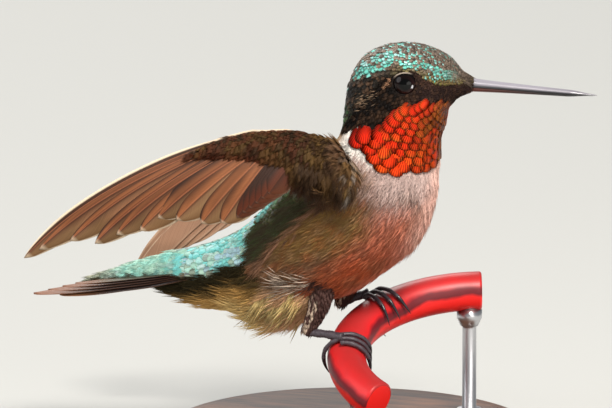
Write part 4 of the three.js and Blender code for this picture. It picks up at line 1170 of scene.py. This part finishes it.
# The tail: one value for each pair of feathers, from the middle pair outwards.
tailSet = {"root": (-19.5, 0, 25.2), "lengths": (19.2, 20.9, 22.8, 24.7, 20.8),
           "pitches": (10.2, 10.3, 10.5, 10.7, 11.8), "spreads": (1.4, 1.9, 2.4, 3.0, 4.4),
           "drops": (0, 0.16, 0.32, 0.48, 0.64), "roll": (6, 20), "lean": 9, "width": 4.4, "offset": 1.3,
           "offsetStep": 0.22, "steps": 36}
tailLook = {"roughness": 0.45, "count": 60.0, "slant": 14.0, "contrast": 0.25, "rimFrom": 1.4,
            "rootShade": 0.0, "bump": 0.2}
tailOutline = {"root": 0.4, "full": 0.35, "taper": 0.85, "from": 0.6, "power": 2, "round": 0.95}


def tailPaint(pair):
    last = len(tailSet["lengths"]) - 1

    def paint(s, t, under):
        inner = mix(tones["rumpGap"] * 0.8, "backGlint", 0.35)
        tone = mix(inner, "tailBlack", np.where(under, 0.95, min(0.8 + pair, 1)))
        tip = tones["tailBuff"] if pair == last else tones["tailPink"]
        tone = mix(tone, tip, smooth(t, 0.55, 0.95) * 0.9)
        tone = mix(tone, "tailPink", (abs(s) > 0.93) * 0.5)
        return mix(tone, "wingShaft", (abs(s) < 0.04) * 0.4)
    return paint


def makeTail(label, side, finish):
    parts = []
    root, angle = np.array(tailSet["root"]), math.radians(tailSet["lean"])
    c, s = math.cos(angle), math.sin(angle)
    lean = np.array([(1, 0, 0), (0, c, -s), (0, s, c)])
    for pair, length in enumerate(tailSet["lengths"]):
        part = pair / (len(tailSet["lengths"]) - 1)
        spread, pitch = math.radians(tailSet["spreads"][pair]), math.radians(tailSet["pitches"][pair])
        roll = math.radians(between(tailSet["roll"], part)) * side
        t = np.linspace(0, 1, tailSet["steps"]) ** 0.85
        shaft = np.stack([length * t, np.zeros_like(t)], 1)
        outward = np.array([0, math.cos(roll), -math.sin(roll)]) * side
        up = np.array([0, math.sin(roll), math.cos(roll)])

        def place(x, y, h):
            aside = tailSet["offset"] + tailSet["offsetStep"] * pair + x * math.sin(spread)
            middle = np.stack([-x * math.cos(pitch) * math.cos(spread), side * aside,
                               -x * math.sin(pitch) - tailSet["drops"][pair]], -1)
            return root + (middle - y[..., None] * outward + h[..., None] * up) @ lean

        half = tailSet["width"] / 2
        along = np.stack([np.ones_like(t), np.zeros_like(t)], 1)
        parts.append(vane(shaft, along, outlineAt(t, tailOutline), half, half, place, tailPaint(pair),
                          rng.uniform()))
    points, faces, values, vanes = joinVanes(parts)
    thing = meshObject("rectrices_" + label, points, faces, finish, values, vanes, outward=True)
    return keep(thing, "tail_feather", "tail_" + label)


# The bill, from its root under the feathers to its tip, before the head turns.
billSet = {"root": (16.2, 0, 52.2), "tip": (33.2, 0, 51.1), "halfWidth": 0.98, "halfHeight": 0.93,
           "mouth": 0.12, "gap": 0.05, "lowerReach": 0.975, "steps": 70, "sides": 22, "blunt": 0.99}
# Bill tones: upper and far are its own near black; lower carries a painted reflection, a red-brown tint for
# the red tube's light thrown up onto the lower mandible; ridge is a painted highlight, the pale sheen along
# the top.
billTones = {"upper": (0.03, 0.03, 0.035), "lower": (0.1, 0.02, 0.012), "far": (0.012, 0.012, 0.014),
             "ridge": (0.3, 0.28, 0.32)}


def billTaper(t):
    slim = (1 - 0.6 * t**0.7) * (1 - 0.74 * smooth(t, 0.78, 1))
    return slim * math.sqrt(max(1 - max(t - billSet["blunt"], 0) / 0.0101, 0.02))


def makeBill():
    tip, root = np.array(billSet["tip"], float), np.array(billSet["root"], float)
    along = tip - root
    up = unit([-along[2], 0, along[0]])
    for label in ("upper", "lower"):
        top = label == "upper"
        reach = 1 if top else billSet["lowerReach"]
        around = (-0.16, math.pi + 0.16) if top else (math.pi + 0.2, turn - 0.2)
        angle = np.linspace(*around, billSet["sides"])
        c, s = np.cos(angle), np.sin(angle)
        ridge = 1 + 0.06 * np.exp(-((c / 0.25) ** 2)) * top
        rings, share = [], []
        for t in np.linspace(0, 1, billSet["steps"]):
            taper = billTaper(t)
            mouth = -billSet["mouth"] * (0.4 + 0.6 * taper) - (0 if top else billSet["gap"])
            groove = 1 - 0.07 * np.exp(-((s - 0.30) / 0.16) ** 2) * (1 - t) * top
            across = c * billSet["halfWidth"] * taper * groove * (1 if top else 0.92)
            rise = s * billSet["halfHeight"] * taper * ridge
            rise = np.maximum(rise, mouth) if top else np.minimum(rise, mouth)
            rings.append(root + along * t * reach + np.multiply.outer(across, [0, 1, 0])
                         + np.multiply.outer(rise, up))
            share += [t] * len(angle)
        points, faces = loft(rings)
        values = {"share": np.array(share + [0, 1]), "high": np.append(np.tile(s, len(rings)), [0, 0])}
        finish = billFinish(label)
        thing = meshObject("mandible_" + label, turnHead(points), faces, finish, values, outward=True)
        keep(thing, "bill", "bill_" + label)


def billFinish(label):
    made = material("bill " + label, roughness=0.3, Coat_Weight=0.5, Coat_Roughness=0.15)
    tree = made.node_tree
    share, high = attribute(tree, "share"), attribute(tree, "high")
    grain = noiseAt(tree, objectPlace(tree), 2600.0, 3.0)
    away = ranged(tree, share, 0.0, 1.0, 0.02, 0.6)
    dark = blended(tree, away, (*billTones[label], 1), (*billTones["far"], 1))
    # painted highlight: the top of the bill is paler, growing weaker towards the tip
    ridge = ranged(tree, high, 0.0, 1.0, 0.05, 0.5, interpolation_type="SMOOTHSTEP")
    highlightFade = ranged(tree, share, 0.9, 0.55, 0.5, 1.0)
    tone = blended(tree, calc(tree, "MULTIPLY", ridge, highlightFade), dark, (*billTones["ridge"], 1))
    return wire(made, grain, 0.2, 0.03, Base_Color=tone, Roughness=ranged(tree, grain, 0.2, 0.5))


# The perch is a part of an ellipse in a plane that is turned and that rises away; from and to are in
# degrees round it, and so is each foot's place. A leg's back is how far its foot sits behind the top.
perchSet = {"centre": (19.1, 1.2, 15.6), "across": 18.8, "away": 15, "turn": 20, "rise": 24.5, "from": 92,
            "to": 219, "tube": 2.6, "sides": 48, "steps": 150, "edge": 0.35, "edgeSteps": 6}
# Colours round the tube from its underside to its top, as painted light and shade: bright red low down, a
# dark wine band at mid height for the dark core a clear rod shows, and red again towards the top.
perchLightBands = [(0.0, (0.5, 0.004, 0.004)), (0.2, (0.9, 0.012, 0.008)), (0.4, (0.85, 0.01, 0.008)),
              (0.5, (0.13, 0.001, 0.006)), (0.64, (0.16, 0.002, 0.008)), (0.76, (0.66, 0.01, 0.012)),
              (1.0, (0.42, 0.02, 0.02))]
legSets = {"right": {"at": 179, "back": -10, "hip": (-2.2, -3.8, 26.0), "heel": (-4.3, -5.0, 18.6)},
           "left": {"at": 138, "back": -38, "hip": (-1.4, 3.6, 26.0), "heel": (-3.0, 4.6, 20.6)}}
footSet = {"thigh": (2.3, 0.95), "shank": 0.42, "shankSteps": 70, "shankSides": 16, "toe": 0.36,
           "toeSteps": 60, "toeSides": 14, "spread": 7, "offset": 0.88, "gap": 0.12, "wrap": (-4, 84),
           "sole": 0.25, "claw": 134, "clawRadius": 0.27, "clawSteps": 26, "clawSides": 12,
           "clawLift": 0.55, "scute": 0.46}
toeWays = {"outer": (1, -1), "middle": (1, 0), "inner": (1, 1), "hind": (-1, 0)}  # way round, and slant


def perchFrame(degrees):
    angle = np.radians(np.asarray(degrees, float))
    way, rise = math.radians(perchSet["turn"]), math.radians(perchSet["rise"])
    acrossWay = np.array([math.cos(way), math.sin(way), 0])
    awayWay = np.array([-math.sin(way) * math.cos(rise), math.cos(way) * math.cos(rise), math.sin(rise)])
    centre = (np.array(perchSet["centre"]) + np.multiply.outer(perchSet["across"] * np.cos(angle), acrossWay)
              + np.multiply.outer(perchSet["away"] * np.sin(angle), awayWay))
    along = unit(np.multiply.outer(-perchSet["across"] * np.sin(angle), acrossWay)
                 + np.multiply.outer(perchSet["away"] * np.cos(angle), awayWay))
    up = unit(np.array([0, 0, 1.0]) - along * along[..., 2:3])
    ahead = np.cross(along, up)
    ahead = ahead * np.where(ahead[..., 0:1] < 0, -1, 1)
    return centre, along, up, ahead


def makePerch():
    steps, lip, edge = perchSet["steps"], perchSet["edgeSteps"], perchSet["edge"]
    row = np.clip(np.arange(steps), lip, steps - 1 - lip)
    row[:lip], row[-lip:] = 0, steps - 1  # the rings of the softened rim on each cut end
    frames = perchFrame(np.linspace(perchSet["from"], perchSet["to"], steps))
    centre, along, up, ahead = (part[row] for part in frames)
    bend = np.linspace(0, math.pi / 2, lip)
    inset, narrow = edge * (1 - np.cos(bend)), edge * (1 - np.sin(bend))
    middle = np.zeros(steps - 2 * lip)
    centre = centre + np.concatenate([inset, middle, -inset[::-1]])[:, None] * along
    radius = perchSet["tube"] - np.concatenate([narrow, middle, narrow[::-1]])
    angles = np.linspace(0, turn, perchSet["sides"], endpoint=False)
    points, faces = loft([c + r * circle(angles, a, u) for c, r, a, u in zip(centre, radius, ahead, up)])
    around = np.tile(0.5 + 0.5 * np.sin(angles), (steps, 1))
    around[[0, -1]] = 0.3
    around = np.append(around.ravel(), [0.3, 0.3])
    thing = meshObject("perch_tube", points, faces, perchFinish(), {"around": around}, outward=True)
    keep(thing, "perch", "perch")


def perchFinish():
    made = material("red tube", (0.62, 0.004, 0.006), 0.42, Coat_Weight=0.08, Coat_Roughness=0.25,
                    Specular_IOR_Level=0.35, Transmission_Weight=0.1, IOR=1.49)
    tree = made.node_tree
    place = objectPlace(tree)
    cloud = calc(tree, "SUBTRACT", noiseAt(tree, place, 160.0, 3.0), 0.5)
    # painted light and shade: the colour is picked by height round the tube
    shifted = calc(tree, "MULTIPLY_ADD", cloud, 0.5, attribute(tree, "around"))
    scuff = noiseAt(tree, place, 1400.0, 4.0)
    return wire(made, scuff, 0.12, 0.04, Base_Color=rampAt(tree, shifted, perchLightBands))


def toePath(leg, way, slant, start, end, lift, steps):
    centre, along, up, ahead = perchFrame(leg["at"])
    share = np.linspace(0, 1, steps)
    wrap = np.radians(start + (end - start) * share)
    reach = perchSet["tube"] + footSet["gap"] + footSet["toe"] + lift * share**2
    slide = slant * footSet["offset"] + reach * wrap * math.tan(math.radians(slant * footSet["spread"]))
    return (centre + reach[:, None] * circle(math.radians(leg["back"]) + way * wrap, up, ahead)
            + slide[:, None] * along)


def scaled(path, radius, tip):
    # radius with the small steps that the scutes make, swelling at the joints
    run = np.concatenate([[0], np.cumsum(np.linalg.norm(np.diff(path, axis=0), axis=1))])
    step = (run / footSet["scute"]) % 1
    joints = 1 + 0.07 * np.cos(run / run[-1] * 3 * turn)
    return radius * (1 + 0.10 * step) * joints * (1 + (tip - 1) * run / run[-1])


def makeFeet():
    skin = hornMaterial("scaled skin", linear((62, 52, 58)), 0.45, 3800.0)
    horn = hornMaterial("claw", linear((30, 26, 30)), 0.25, 900.0)
    for label, leg in legSets.items():
        centre, _, up, ahead = perchFrame(leg["at"])
        reach = perchSet["tube"] + footSet["gap"] + footSet["toe"] + footSet["sole"]
        foot = centre + reach * circle(np.radians(leg["back"]), up, ahead)
        heel = np.array(leg["heel"])
        knots = [heel, (heel + foot) / 2 + (0, 0, 0.12), foot]
        path = splineAt(knots, np.linspace(0, 1, footSet["shankSteps"]))
        parts = [tube(path, scaled(path, footSet["shank"], 1.15), footSet["shankSides"], 1.15)]
        claws = []
        for way, slant in toeWays.values():
            path = toePath(leg, way, slant, *footSet["wrap"], 0, footSet["toeSteps"])
            parts.append(tube(path, scaled(path, footSet["toe"] * 0.86, 0.85), footSet["toeSides"]))
            path = toePath(leg, way, slant, footSet["wrap"][1] - 2, footSet["claw"], footSet["clawLift"],
                           footSet["clawSteps"])
            thin = footSet["clawRadius"] * (1 - 0.9 * np.linspace(0, 1, len(path)) ** 1.2)
            claws.append(tube(path, thin, footSet["clawSides"], 1.2))
        keep(meshObject("foot_" + label, *joinShapes(parts), skin, outward=True), "foot", "shank_" + label,
             *(f"toe_{label}_{toe}" for toe in toeWays))
        keep(meshObject("claws_" + label, *joinShapes(claws), horn, outward=True), "claw",
             *(f"claw_{label}_{toe}" for toe in toeWays))


def hornMaterial(name, tone, roughness, cells):
    made = material(name, tuple(tone), roughness)
    tree = made.node_tree
    cell = node(tree, "ShaderNodeTexVoronoi", {"Vector": objectPlace(tree), "Scale": cells}).outputs[0]
    return wire(made, cell, 0.35, invert=True,
                Base_Color=blended(tree, cell, (*(tone * 1.5), 1), (*(tone * 0.6), 1)))


def thighSurface(leg, inset=0.0):
    hip, heel = np.array(leg["hip"]), np.array(leg["heel"])
    path = np.array([hip, hip + 0.55 * (heel - hip) + (0.5, 0, 0.2), heel])
    wide, thin = footSet["thigh"]
    first = unit(np.cross(heel - hip, [1.0, 0, 0]))

    def surface(p, q):
        middle = splineAt(path, p)
        way = unit(splineAt(path, p + 0.01) - splineAt(path, p - 0.01))
        side = unit(first - way * (way @ first)[..., None])
        radius = (wide + (thin - wide) * np.clip(p, 0, 1) ** 0.8 - inset)[..., None]
        return middle + radius * circle(q, side, np.cross(way, side))
    return surface


# The stand: front and rear are where the rods hold the perch, in degrees round it.
standSet = {"radius": 25, "height": 5, "sides": 128, "plinth": 0.35, "rod": 0.95, "rodSides": 48,
            "cup": 1.7, "cupHeight": 2.4, "cupRise": 0.75, "clearance": 0.03, "front": 207, "rear": 97,
            "collar": 1.75, "collarHeight": 0.7, "pole": 0.01}


def lathe(profile, sides, x=0, y=0):  # a closed solid from (radius, height) points, bottom to top
    ring = circle(np.linspace(0, turn, sides, endpoint=False), np.array([1, 0, 0]), np.array([0, 1, 0]))
    return loft([np.array([x, y, height]) + radius * ring for radius, height in profile])


def arc(r, z, radius, start, end, steps):
    angles = np.radians(np.linspace(start, end, steps))
    return [(r + radius * math.cos(b), z + radius * math.sin(b)) for b in angles]


def makeStand():
    r, h, pole = standSet["radius"], standSet["height"], standSet["pole"]
    profile = [(pole, 0.0), (r - 1.6, 0.0), (r - 1.6, standSet["plinth"]),
               *arc(r - 0.9, 1.05, 0.7, -90, 0, 7), (r - 0.2, h - 2.3),
               *arc(r - 1.2, h - 1.2, 1.2, 0, 60, 8), (r - 1.0, h - 0.16),
               *arc(r - 2.0, h - 0.4, 0.4, 60, 90, 4), (r - 3.0, h), (pole, h)]
    points, faces = lathe(profile, standSet["sides"])
    keep(meshObject("base_turned", points, faces, woodFinish(), outward=True), "base", "stand_base")
    steel = metalFinish()
    path = perchFrame(np.linspace(perchSet["from"] - 6, perchSet["to"] + 6, 120))[0]
    points, faces = tube(path, perchSet["tube"] + standSet["clearance"], perchSet["sides"])
    cutter = meshObject("cutter", points, faces, material("bore", (0, 0, 0), 1.0), outward=True)
    rod, cup, collar, collarTop = (standSet[key] for key in ("rod", "cup", "collar", "collarHeight"))
    for label in ("front", "rear"):
        x, y, z = perchFrame(standSet[label])[0]
        head = z - perchSet["tube"]
        foot, lip = head - standSet["cupHeight"], head + standSet["cupRise"]
        profile = [(pole, h - 2), (rod, h - 2), (rod, h + 0.02), (collar, h + 0.02),
                   *arc(collar - 0.2, h + collarTop - 0.2, 0.2, 0, 90, 4), (rod + 0.1, h + collarTop),
                   (rod, h + collarTop + 0.1), (rod, foot), (rod, foot + 0.25), (rod + 0.25, foot + 0.3),
                   (cup - 0.1, foot + 1.2), (cup, foot + 1.35), (cup, lip), (pole, lip)]
        points, faces = lathe(profile, standSet["rodSides"], x, y)
        thing = meshObject("rod_" + label, points, faces, steel, outward=True)
        saddle = thing.modifiers.new("saddle", "BOOLEAN")
        saddle.object = cutter
        saddle.operation = "DIFFERENCE"
        applyModifiers(thing)
        keep(thing, "rod", "stand_rod_" + label)
    bpy.data.objects.remove(cutter)


def woodFinish():
    made = material("dark wood", roughness=0.45, Coat_Weight=0.15, Coat_Roughness=0.3)
    tree = made.node_tree
    along = objectPlace(tree, Scale=(1.0, 9.0, 9.0), Rotation=(0, 0, 0.5))
    fibre = noiseAt(tree, along, 120.0, 5.0, Distortion=0.6)
    fine = noiseAt(tree, along, 620.0, 3.0)
    brown = rampAt(tree, fibre, [(0.32, (0.05, 0.018, 0.008)), (0.72, (0.24, 0.1, 0.045))])
    return wire(made, fine, 0.1, 0.1, Base_Color=blended(tree, 0.35, brown, fine, blend_type="MULTIPLY"))


def metalFinish():
    made = material("satin steel", (0.58, 0.58, 0.6), 0.3, Metallic=1.0)
    tree = made.node_tree
    line = noiseAt(tree, objectPlace(tree, Scale=(1.0, 1.0, 60.0)), 90.0, 4.0)
    return wire(made, line, 0.1, 0.03, Roughness=ranged(tree, line, 0.2, 0.45))


# One skin lies inside the flesh nodes; arms and thighs are how deep it lies there, in mm.
skinSet = {"voxel": 0.32, "arms": 0.4, "thighs": 0.3, "smooth": 6, "luck": 0.45, "armLuck": 0.4,
           "trunkSteps": (241, 120), "armSteps": (70, 48)}


def makeSkin():
    t, a, flatT, flatA = wholeGrid(*skinSet["trunkSteps"])
    parts = [loft(skinTrunk(t, a))]
    luck = np.full(len(flatT), skinSet["luck"])
    tints = [markings(flatT, flatA, parts[0][0], luck)[0]]
    # painted shade: the skin under the gorget is made near black so the gaps between the scales read as
    # shadow
    tints[0][zoneOf(flatT, flatA) == zones.index("gorget")] = tones["mask"] * 0.6  # dark between the scales
    p, q, flatP, flatQ = wholeGrid(*skinSet["armSteps"])
    for wing in wingSets.values():
        points, faces = loft(armSurface(wing, skinSet["arms"])(p, q))
        parts.append((points, faces))
        tints.append(armTint("median", splineAt(armSections, flatP)[:, 0], (np.sin(flatQ) + 1) / 2, points,
                             np.full(len(points), skinSet["armLuck"])))
    for leg in legSets.values():
        points, faces = loft(thighSurface(leg, skinSet["thighs"])(p[::2, ::2], q[::2, ::2]))
        parts.append((points, faces))
        tints.append(np.ones((len(points), 1)) * tones["thighDark"])
    points, faces = joinShapes(parts)
    thing = meshObject("skin", points, faces, outward=True)
    melt = thing.modifiers.new("melt", "REMESH")
    melt.mode = "VOXEL"
    melt.voxel_size = skinSet["voxel"] * mm
    soften = thing.modifiers.new("soften", "SMOOTH")
    soften.iterations = skinSet["smooth"]
    applyModifiers(thing)
    thing.data.shade_smooth()
    near = KDTree(len(points))
    for i, point in enumerate(points):
        near.insert(point, i)
    near.balance()
    nearest = [near.find(v.co / mm)[1] for v in thing.data.vertices]
    addValues(thing.data, {"tint": asColour(np.concatenate(tints)[nearest])})
    thing.data.materials.append(skinFinish())
    return keep(thing, "belly", "head", "gorget", "neck", "breast", "back", "belly", "rump", "vent",
                "uppertail_coverts", "undertail_coverts", "wing_right_arm", "wing_left_arm", "thigh_right",
                "thigh_left")


def skinFinish():
    made = material("skin", roughness=0.8, Specular_IOR_Level=0.1)
    tree = made.node_tree
    # painted shade: the skin is darkened a third of the way to black, for the shade between the feathers
    dark = blended(tree, 0.35, attribute(tree, "tint", "Color"), (0.02, 0.015, 0.012, 1))
    return wire(made, noiseAt(tree, objectPlace(tree), 1800.0, 2.0), Base_Color=dark)


# The coat of the trunk, laid zone by zone in this order. A feather's length in mm has its start, its
# growth and the two places along the trunk between which it grows; width is a share of the length, and
# row and column are the steps from feather to feather as shares of it.
coats = {
    "gorget": {"span": (0.1, 0.47), "length": (1.2, 1.4, 0.14, 0.38), "width": 0.92, "row": 0.48,
               "column": 0.6, "jitter": 0.06, "feather": "scale", "slot": "gorget",
               "look": {"roughness": 0.45, "contrast": 0.62, "rootShade": 0.55, "rays": 40.0,
                        "rimFrom": 0.45, "lineShare": 0.5, "edgeShade": 0.38, "bump": 0.6, "gloss": 0.12,
                        "Metallic": 0.15}, "spread": (0.12, 0.01, 0.04, 0.05)},
    "crown": {"span": (0.0, 0.5), "length": (0.6, 0.65, 0.05, 0.33), "width": 0.7, "row": 0.38,
              "column": 0.46, "jitter": 0.16, "feather": "blade", "slot": "crown",
              "look": {"roughness": 0.4, "contrast": 0.35, "rootShade": 0.5, "rays": 26.0,
                       "Metallic": 0.2, "rimFrom": 0.6}, "spread": (0.14, 0.05, 0.14, 0.12)},
    "face": {"span": (0.0, 0.5), "length": (0.7, 0.5, 0.05, 0.35), "width": 0.6, "row": 0.4,
             "column": 0.42, "jitter": 0.2, "feather": "lax", "slot": "crown",
             "look": {"roughness": 0.6, "contrast": 0.3, "rootShade": 0.3, "gloss": 0.15},
             "spread": (0.2, 0.06, 0.12, 0.15)},
    "breast": {"span": (0.25, 0.7), "length": (3.0, 0, 0, 1), "width": 0.55, "row": 0.16, "column": 0.14,
               "jitter": 0.35, "feather": "strand", "slot": "breast",
               "look": {"roughness": 0.75, "contrast": 0.12, "rootShade": 0.15, "gloss": 0.25},
               "spread": (0.13, 0.05, 0.16, 0.2)},
    "flank": {"span": (0.35, 0.8), "length": (3.0, 0, 0, 1), "width": 0.5, "row": 0.137, "column": 0.12,
              "jitter": 0.35, "feather": "strand", "slot": "belly",
              "look": {"roughness": 0.6, "contrast": 0.15, "rootShade": 0.2, "gloss": 0.3},
              "spread": (0.13, 0.05, 0.2, 0.2)},
    "back": {"span": (0.4, 0.8), "length": (2.1, -0.8, 0.6, 0.75), "width": 0.8, "row": 0.36,
             "column": 0.4, "jitter": 0.18, "feather": "blade", "slot": "back",
             "look": {"roughness": 0.4, "contrast": 0.4, "rootShade": 0.5, "Metallic": 0.25},
             "spread": (0.24, 0.05, 0.12, 0.12)},
    # the rump and its coverts carry a painted glow, an emission that brightens them
    "rump": {"span": (0.6, 0.92), "length": (1.1, 0.9, 0.76, 0.88), "width": 0.7, "row": 0.3,
             "column": 0.38, "jitter": 0.25, "feather": "blade", "slot": "rump",
             "look": {"roughness": 0.4, "contrast": 0.2, "rootShade": 0.15, "rays": 26.0, "rimFrom": 0.7,
                      "glow": 0.14}, "spread": (0.12, 0.06, 0.14, 0.14)},
    "coverts": {"span": (0.8, 1.0), "length": (3.0, 0, 0, 1), "width": 0.7, "row": 0.2, "column": 0.24,
                "jitter": 0.2, "feather": "lax", "slot": "rump",
                "look": {"roughness": 0.5, "contrast": 0.2, "rootShade": 0.15, "count": 26.0,
                         "glow": 0.08}, "spread": (0.12, 0.04, 0.1, 0.14)},
    "vent": {"span": (0.6, 1.0), "length": (4.2, -1.6, 0.8, 1), "width": 0.5, "row": 0.16, "column": 0.14,
             "jitter": 0.3, "feather": "strand", "slot": "vent",
             "look": {"roughness": 0.75, "contrast": 0.2, "rootShade": 0.3},
             "spread": (0.18, 0.1, 0.25, 0.25)}}


eyeClear = {"crown": 1.9, "face": 1.72, "behind": 0.35}  # mm from the eye's middle to the nearest feathers


def makeCoat(zone, plan):
    roots = trunkRoots(zone, plan)
    x, z, _ = sideView(roots["t"], roots["a"])
    above = z - heightOf(gorgetEdge, x)
    if zone == "gorget":  # the top row stands over the dark feathers above it
        roots["root"] = roots["root"] + roots["away"] * (0.1 + 0.06 * smooth(above, -1.3, -0.2))[:, None]
    if zone == "breast":  # and the collar lies close under the scales
        roots["raise"] = -0.1 * smooth(z - heightOf(gorgetFoot, x), -2.0, 0.2) * (x > -1.3)
    if zone == "face":
        roots["span"] = roots["span"] * (1.25 - 0.25 * smooth(above, 0.2, 1.0))[:, None]
    if zone in ("face", "crown"):
        for side in (-1, 1):
            centre, axis = eyeFrame(side)
            away = roots["root"] - centre
            ahead = away @ axis
            aside = away - ahead[:, None] * axis
            off = np.linalg.norm(aside, axis=1)
            leaving = smooth(np.sum(aside * roots["lie"], 1) / off, -0.6, 0.3)
            roots = only(roots, (ahead < 0) | (off > eyeClear[zone] - eyeClear["behind"] * leaving))
    finish = featherMaterial(zone + " feathers", **plan["look"])
    spread = (*plan["spread"], len(zone))
    keep(layFeathers("coat_" + zone, roots, plan["feather"], finish, spread), plan["slot"])


def joinRoots(parts):
    return {key: np.concatenate([part[key] for part in parts]) for key in parts[0]}


def makeArmCoats():
    trunkTree = surfaceTree(skinTrunk, 160, 96)
    finish = featherMaterial("covert feathers", **armCoat["look"])
    for label, wing in wingSets.items():
        surface, axes = armSurface(wing, armCoat["depth"]), wingFrame(wing)
        roots = joinRoots([bandRoots(surface, axes, band, trunkTree) for band in armBands])
        keep(layFeathers("coat_wing_" + label, roots, "lax", finish, armCoat["spread"]), "wing_covert")


thighCoat = {"depth": 0.25, "length": (1.9, 1.0), "row": 0.26, "column": 0.3, "jitter": 0.3,
             "span": (0.0, 0.97), "width": 0.45, "rise": 0.4, "spread": (0.14, 0.06, 0.15, 0.2, 31),
             "look": {"roughness": 0.6, "contrast": 0.3, "rootShade": 0.3}}


def makeThighCoats():
    finish = featherMaterial("thigh feathers", **thighCoat["look"])
    for label, leg in legSets.items():
        surface = thighSurface(leg, thighCoat["depth"])
        p, q = scatter(surface, lambda p: between(thighCoat["length"], p), lambda p, q: p >= 0,
                       thighCoat["row"], thighCoat["column"], thighCoat["jitter"], thighCoat["span"])
        root, lie, away = frameAt(surface, p, q)
        away = away * np.sign(np.sum(away * (root - surface(p, q + math.pi)), -1))[:, None]
        luck = rng.uniform(0, 1, len(p))
        streak = (np.sin(q * 2 + 0.8) > 0.35) * smooth(p, 0.2, 0.5) * (luck > 0.35)
        tint = mix("thighDark", "thighWhite", streak * 0.85)
        roots = rootSet(root, lie, away, luck, between(thighCoat["length"], p), thighCoat["width"],
                        thighCoat["rise"], tint, tint, patchAt(p, q, *patches["thigh"]))
        keep(layFeathers("coat_thigh_" + label, roots, "lax", finish, thighCoat["spread"]), "thigh")


# Loose groups on both sides: the line they start from and their heading are of the side view.
looseBands = {
    "ear": {"line": [(2.0, 50.6), (3.0, 51.3), (4.0, 52.0)], "scatter": 0.85, "count": 70,
            "heading": (-0.95, -0.3), "long": 1.5, "wide": 0.3, "raise": 0.1, "tone": "earStreak",
            "shape": "hair"},
    "eyeSpot": {"line": [(5.3, 52.9), (5.9, 53.5), (6.05, 54.1)], "scatter": 0.2, "count": 90,
                "heading": (-0.75, -0.66), "long": 0.8, "wide": 0.5, "raise": 0.24, "tone": "eyeSpot",
                "shape": "hair"},
    "brow": {"line": [(15.2, 54.1), (15.6, 53.7), (15.7, 53.2)], "scatter": 0.25, "count": 60,
             "heading": (0.97, -0.24), "long": 1.6, "wide": 0.22, "raise": 0.02, "tone": "crownGround",
             "shape": "strand"},
    "lore": {"line": [(15.5, 52.9), (15.7, 52.4), (15.9, 51.6)], "scatter": 0.25, "count": 80,
             "heading": (0.99, -0.1), "long": 1.3, "wide": 0.22, "raise": 0.02, "tone": "lores",
             "shape": "strand"},
    "hip": {"line": [(-3.0, 26.0), (-2.0, 26.4), (-0.9, 26.2)], "scatter": 0.4, "count": 26,
            "heading": (-0.3, -0.95), "long": 3.0, "wide": 0.3, "raise": 0.05, "tone": "thighDark",
            "shape": "strand"},
    "plume": {"line": plumeLine[:4], "scatter": 0.2, "count": 70, "heading": (-0.72, -0.69), "long": 3.6,
              "wide": 0.22, "raise": 0.08, "tone": "plume", "shape": "strand"},
    "cotton": {"line": [(-6.6, 25.0), (-4.8, 25.0), (-2.4, 25.6)], "scatter": 0.8, "count": 130,
               "heading": (-0.98, 0.1), "long": 4.4, "wide": 0.05, "raise": 0.06, "fan": 0.25,
               "tone": "thighWhite", "shape": "hair"},
    "fringe": {"line": [(0.6, 45.0), (1.4, 43.6), (2.2, 42.2), (3.0, 40.8)], "scatter": 0.3, "count": 90,
               "heading": (-0.85, -0.5), "long": 2.6, "wide": 0.25, "raise": 0.5, "tone": "collar",
               "shape": "strand"},
    "tuft": {"line": [(-9.5, 23.0), (-7.5, 22.4), (-5.6, 22.4)], "scatter": 1.2, "count": 80,
             "heading": (-0.55, -0.83), "long": 4.6, "wide": 0.35, "raise": 0.16, "tone": "buffPale",
             "shape": "strand"}}


looseCoat = {"spread": (0.14, 0.06, 0.3, 0.25, 41),
             "look": {"roughness": 0.7, "contrast": 0.2, "rootShade": 0.3}}


def makeLoose():
    t, a = np.meshgrid(np.linspace(0.05, 0.95, 400), np.linspace(0.05, 0.9, 200) * math.pi, indexing="ij")
    t, a = t.ravel(), a.ravel()
    x, z, _ = sideView(t, a)
    finish = featherMaterial("loose plumes", **looseCoat["look"])
    for name, band in looseBands.items():
        count = band["count"]
        step = 0.01 * np.array([band["heading"][0], 0, band["heading"][1]])
        parts = []
        for side in (1, -1):
            share = rng.uniform(0, 1, count)
            spots = splineAt(band["line"], share) + band["scatter"] * rng.normal(size=(count, 2)) * 0.6
            nearest = [int(np.argmin((x - spot[0]) ** 2 + (z - spot[1]) ** 2)) for spot in spots]
            p, q = t[nearest], a[nearest] * side
            root, _, away = frameAt(skinTrunk, p, q)
            lie = layFlat(turnHead(flatTrunk(p, q) + step) - trunk(p, q), away)
            lie = unit(lie + band.get("fan", 0.15) * rng.normal(size=count)[:, None] * np.cross(away, lie))
            luck = rng.uniform(0, 1, count)
            tint = tones[band["tone"]] * (0.3 + 0.85 * luck)[:, None]
            long = band["long"] * (0.7 + 0.5 * rng.uniform(0, 1, count))
            parts.append(rootSet(root, lie, away, luck, long, band["wide"], 0.5, tint, tint,
                                 patchAt(p, q, *patches["trunk"]), band["raise"]))
        made = layFeathers("loose_" + name, joinRoots(parts), band["shape"], finish, looseCoat["spread"])
        keep(made, "belly")


makeCamera()
makeStage()
plumageGroup = makePlumageGroup(makeBarbGroup())
layTree = makeLayTree()
print("camera, light and shared trees ready")

makeEyes()
print("eyes done")

makeSkin()
print("skin done")

templates = makeTemplates()
for zone, plan in coats.items():
    makeCoat(zone, plan)
makeLoose()
makeArmCoats()
makeThighCoats()
print("coats done")

flightFinish = featherMaterial("flight feathers", **flightLook)
tailFinish = featherMaterial("tail feathers", **tailLook)
for label, wing in wingSets.items():
    makeFlight(label, wing, flightFinish)
    makeTail(label, wing["side"], tailFinish)
print("flight and tail feathers done")

makeBill()
makePerch()
makeFeet()
makeStand()
print("bill, feet, perch and stand done")

for thing in templates.values():
    bpy.data.objects.remove(thing)
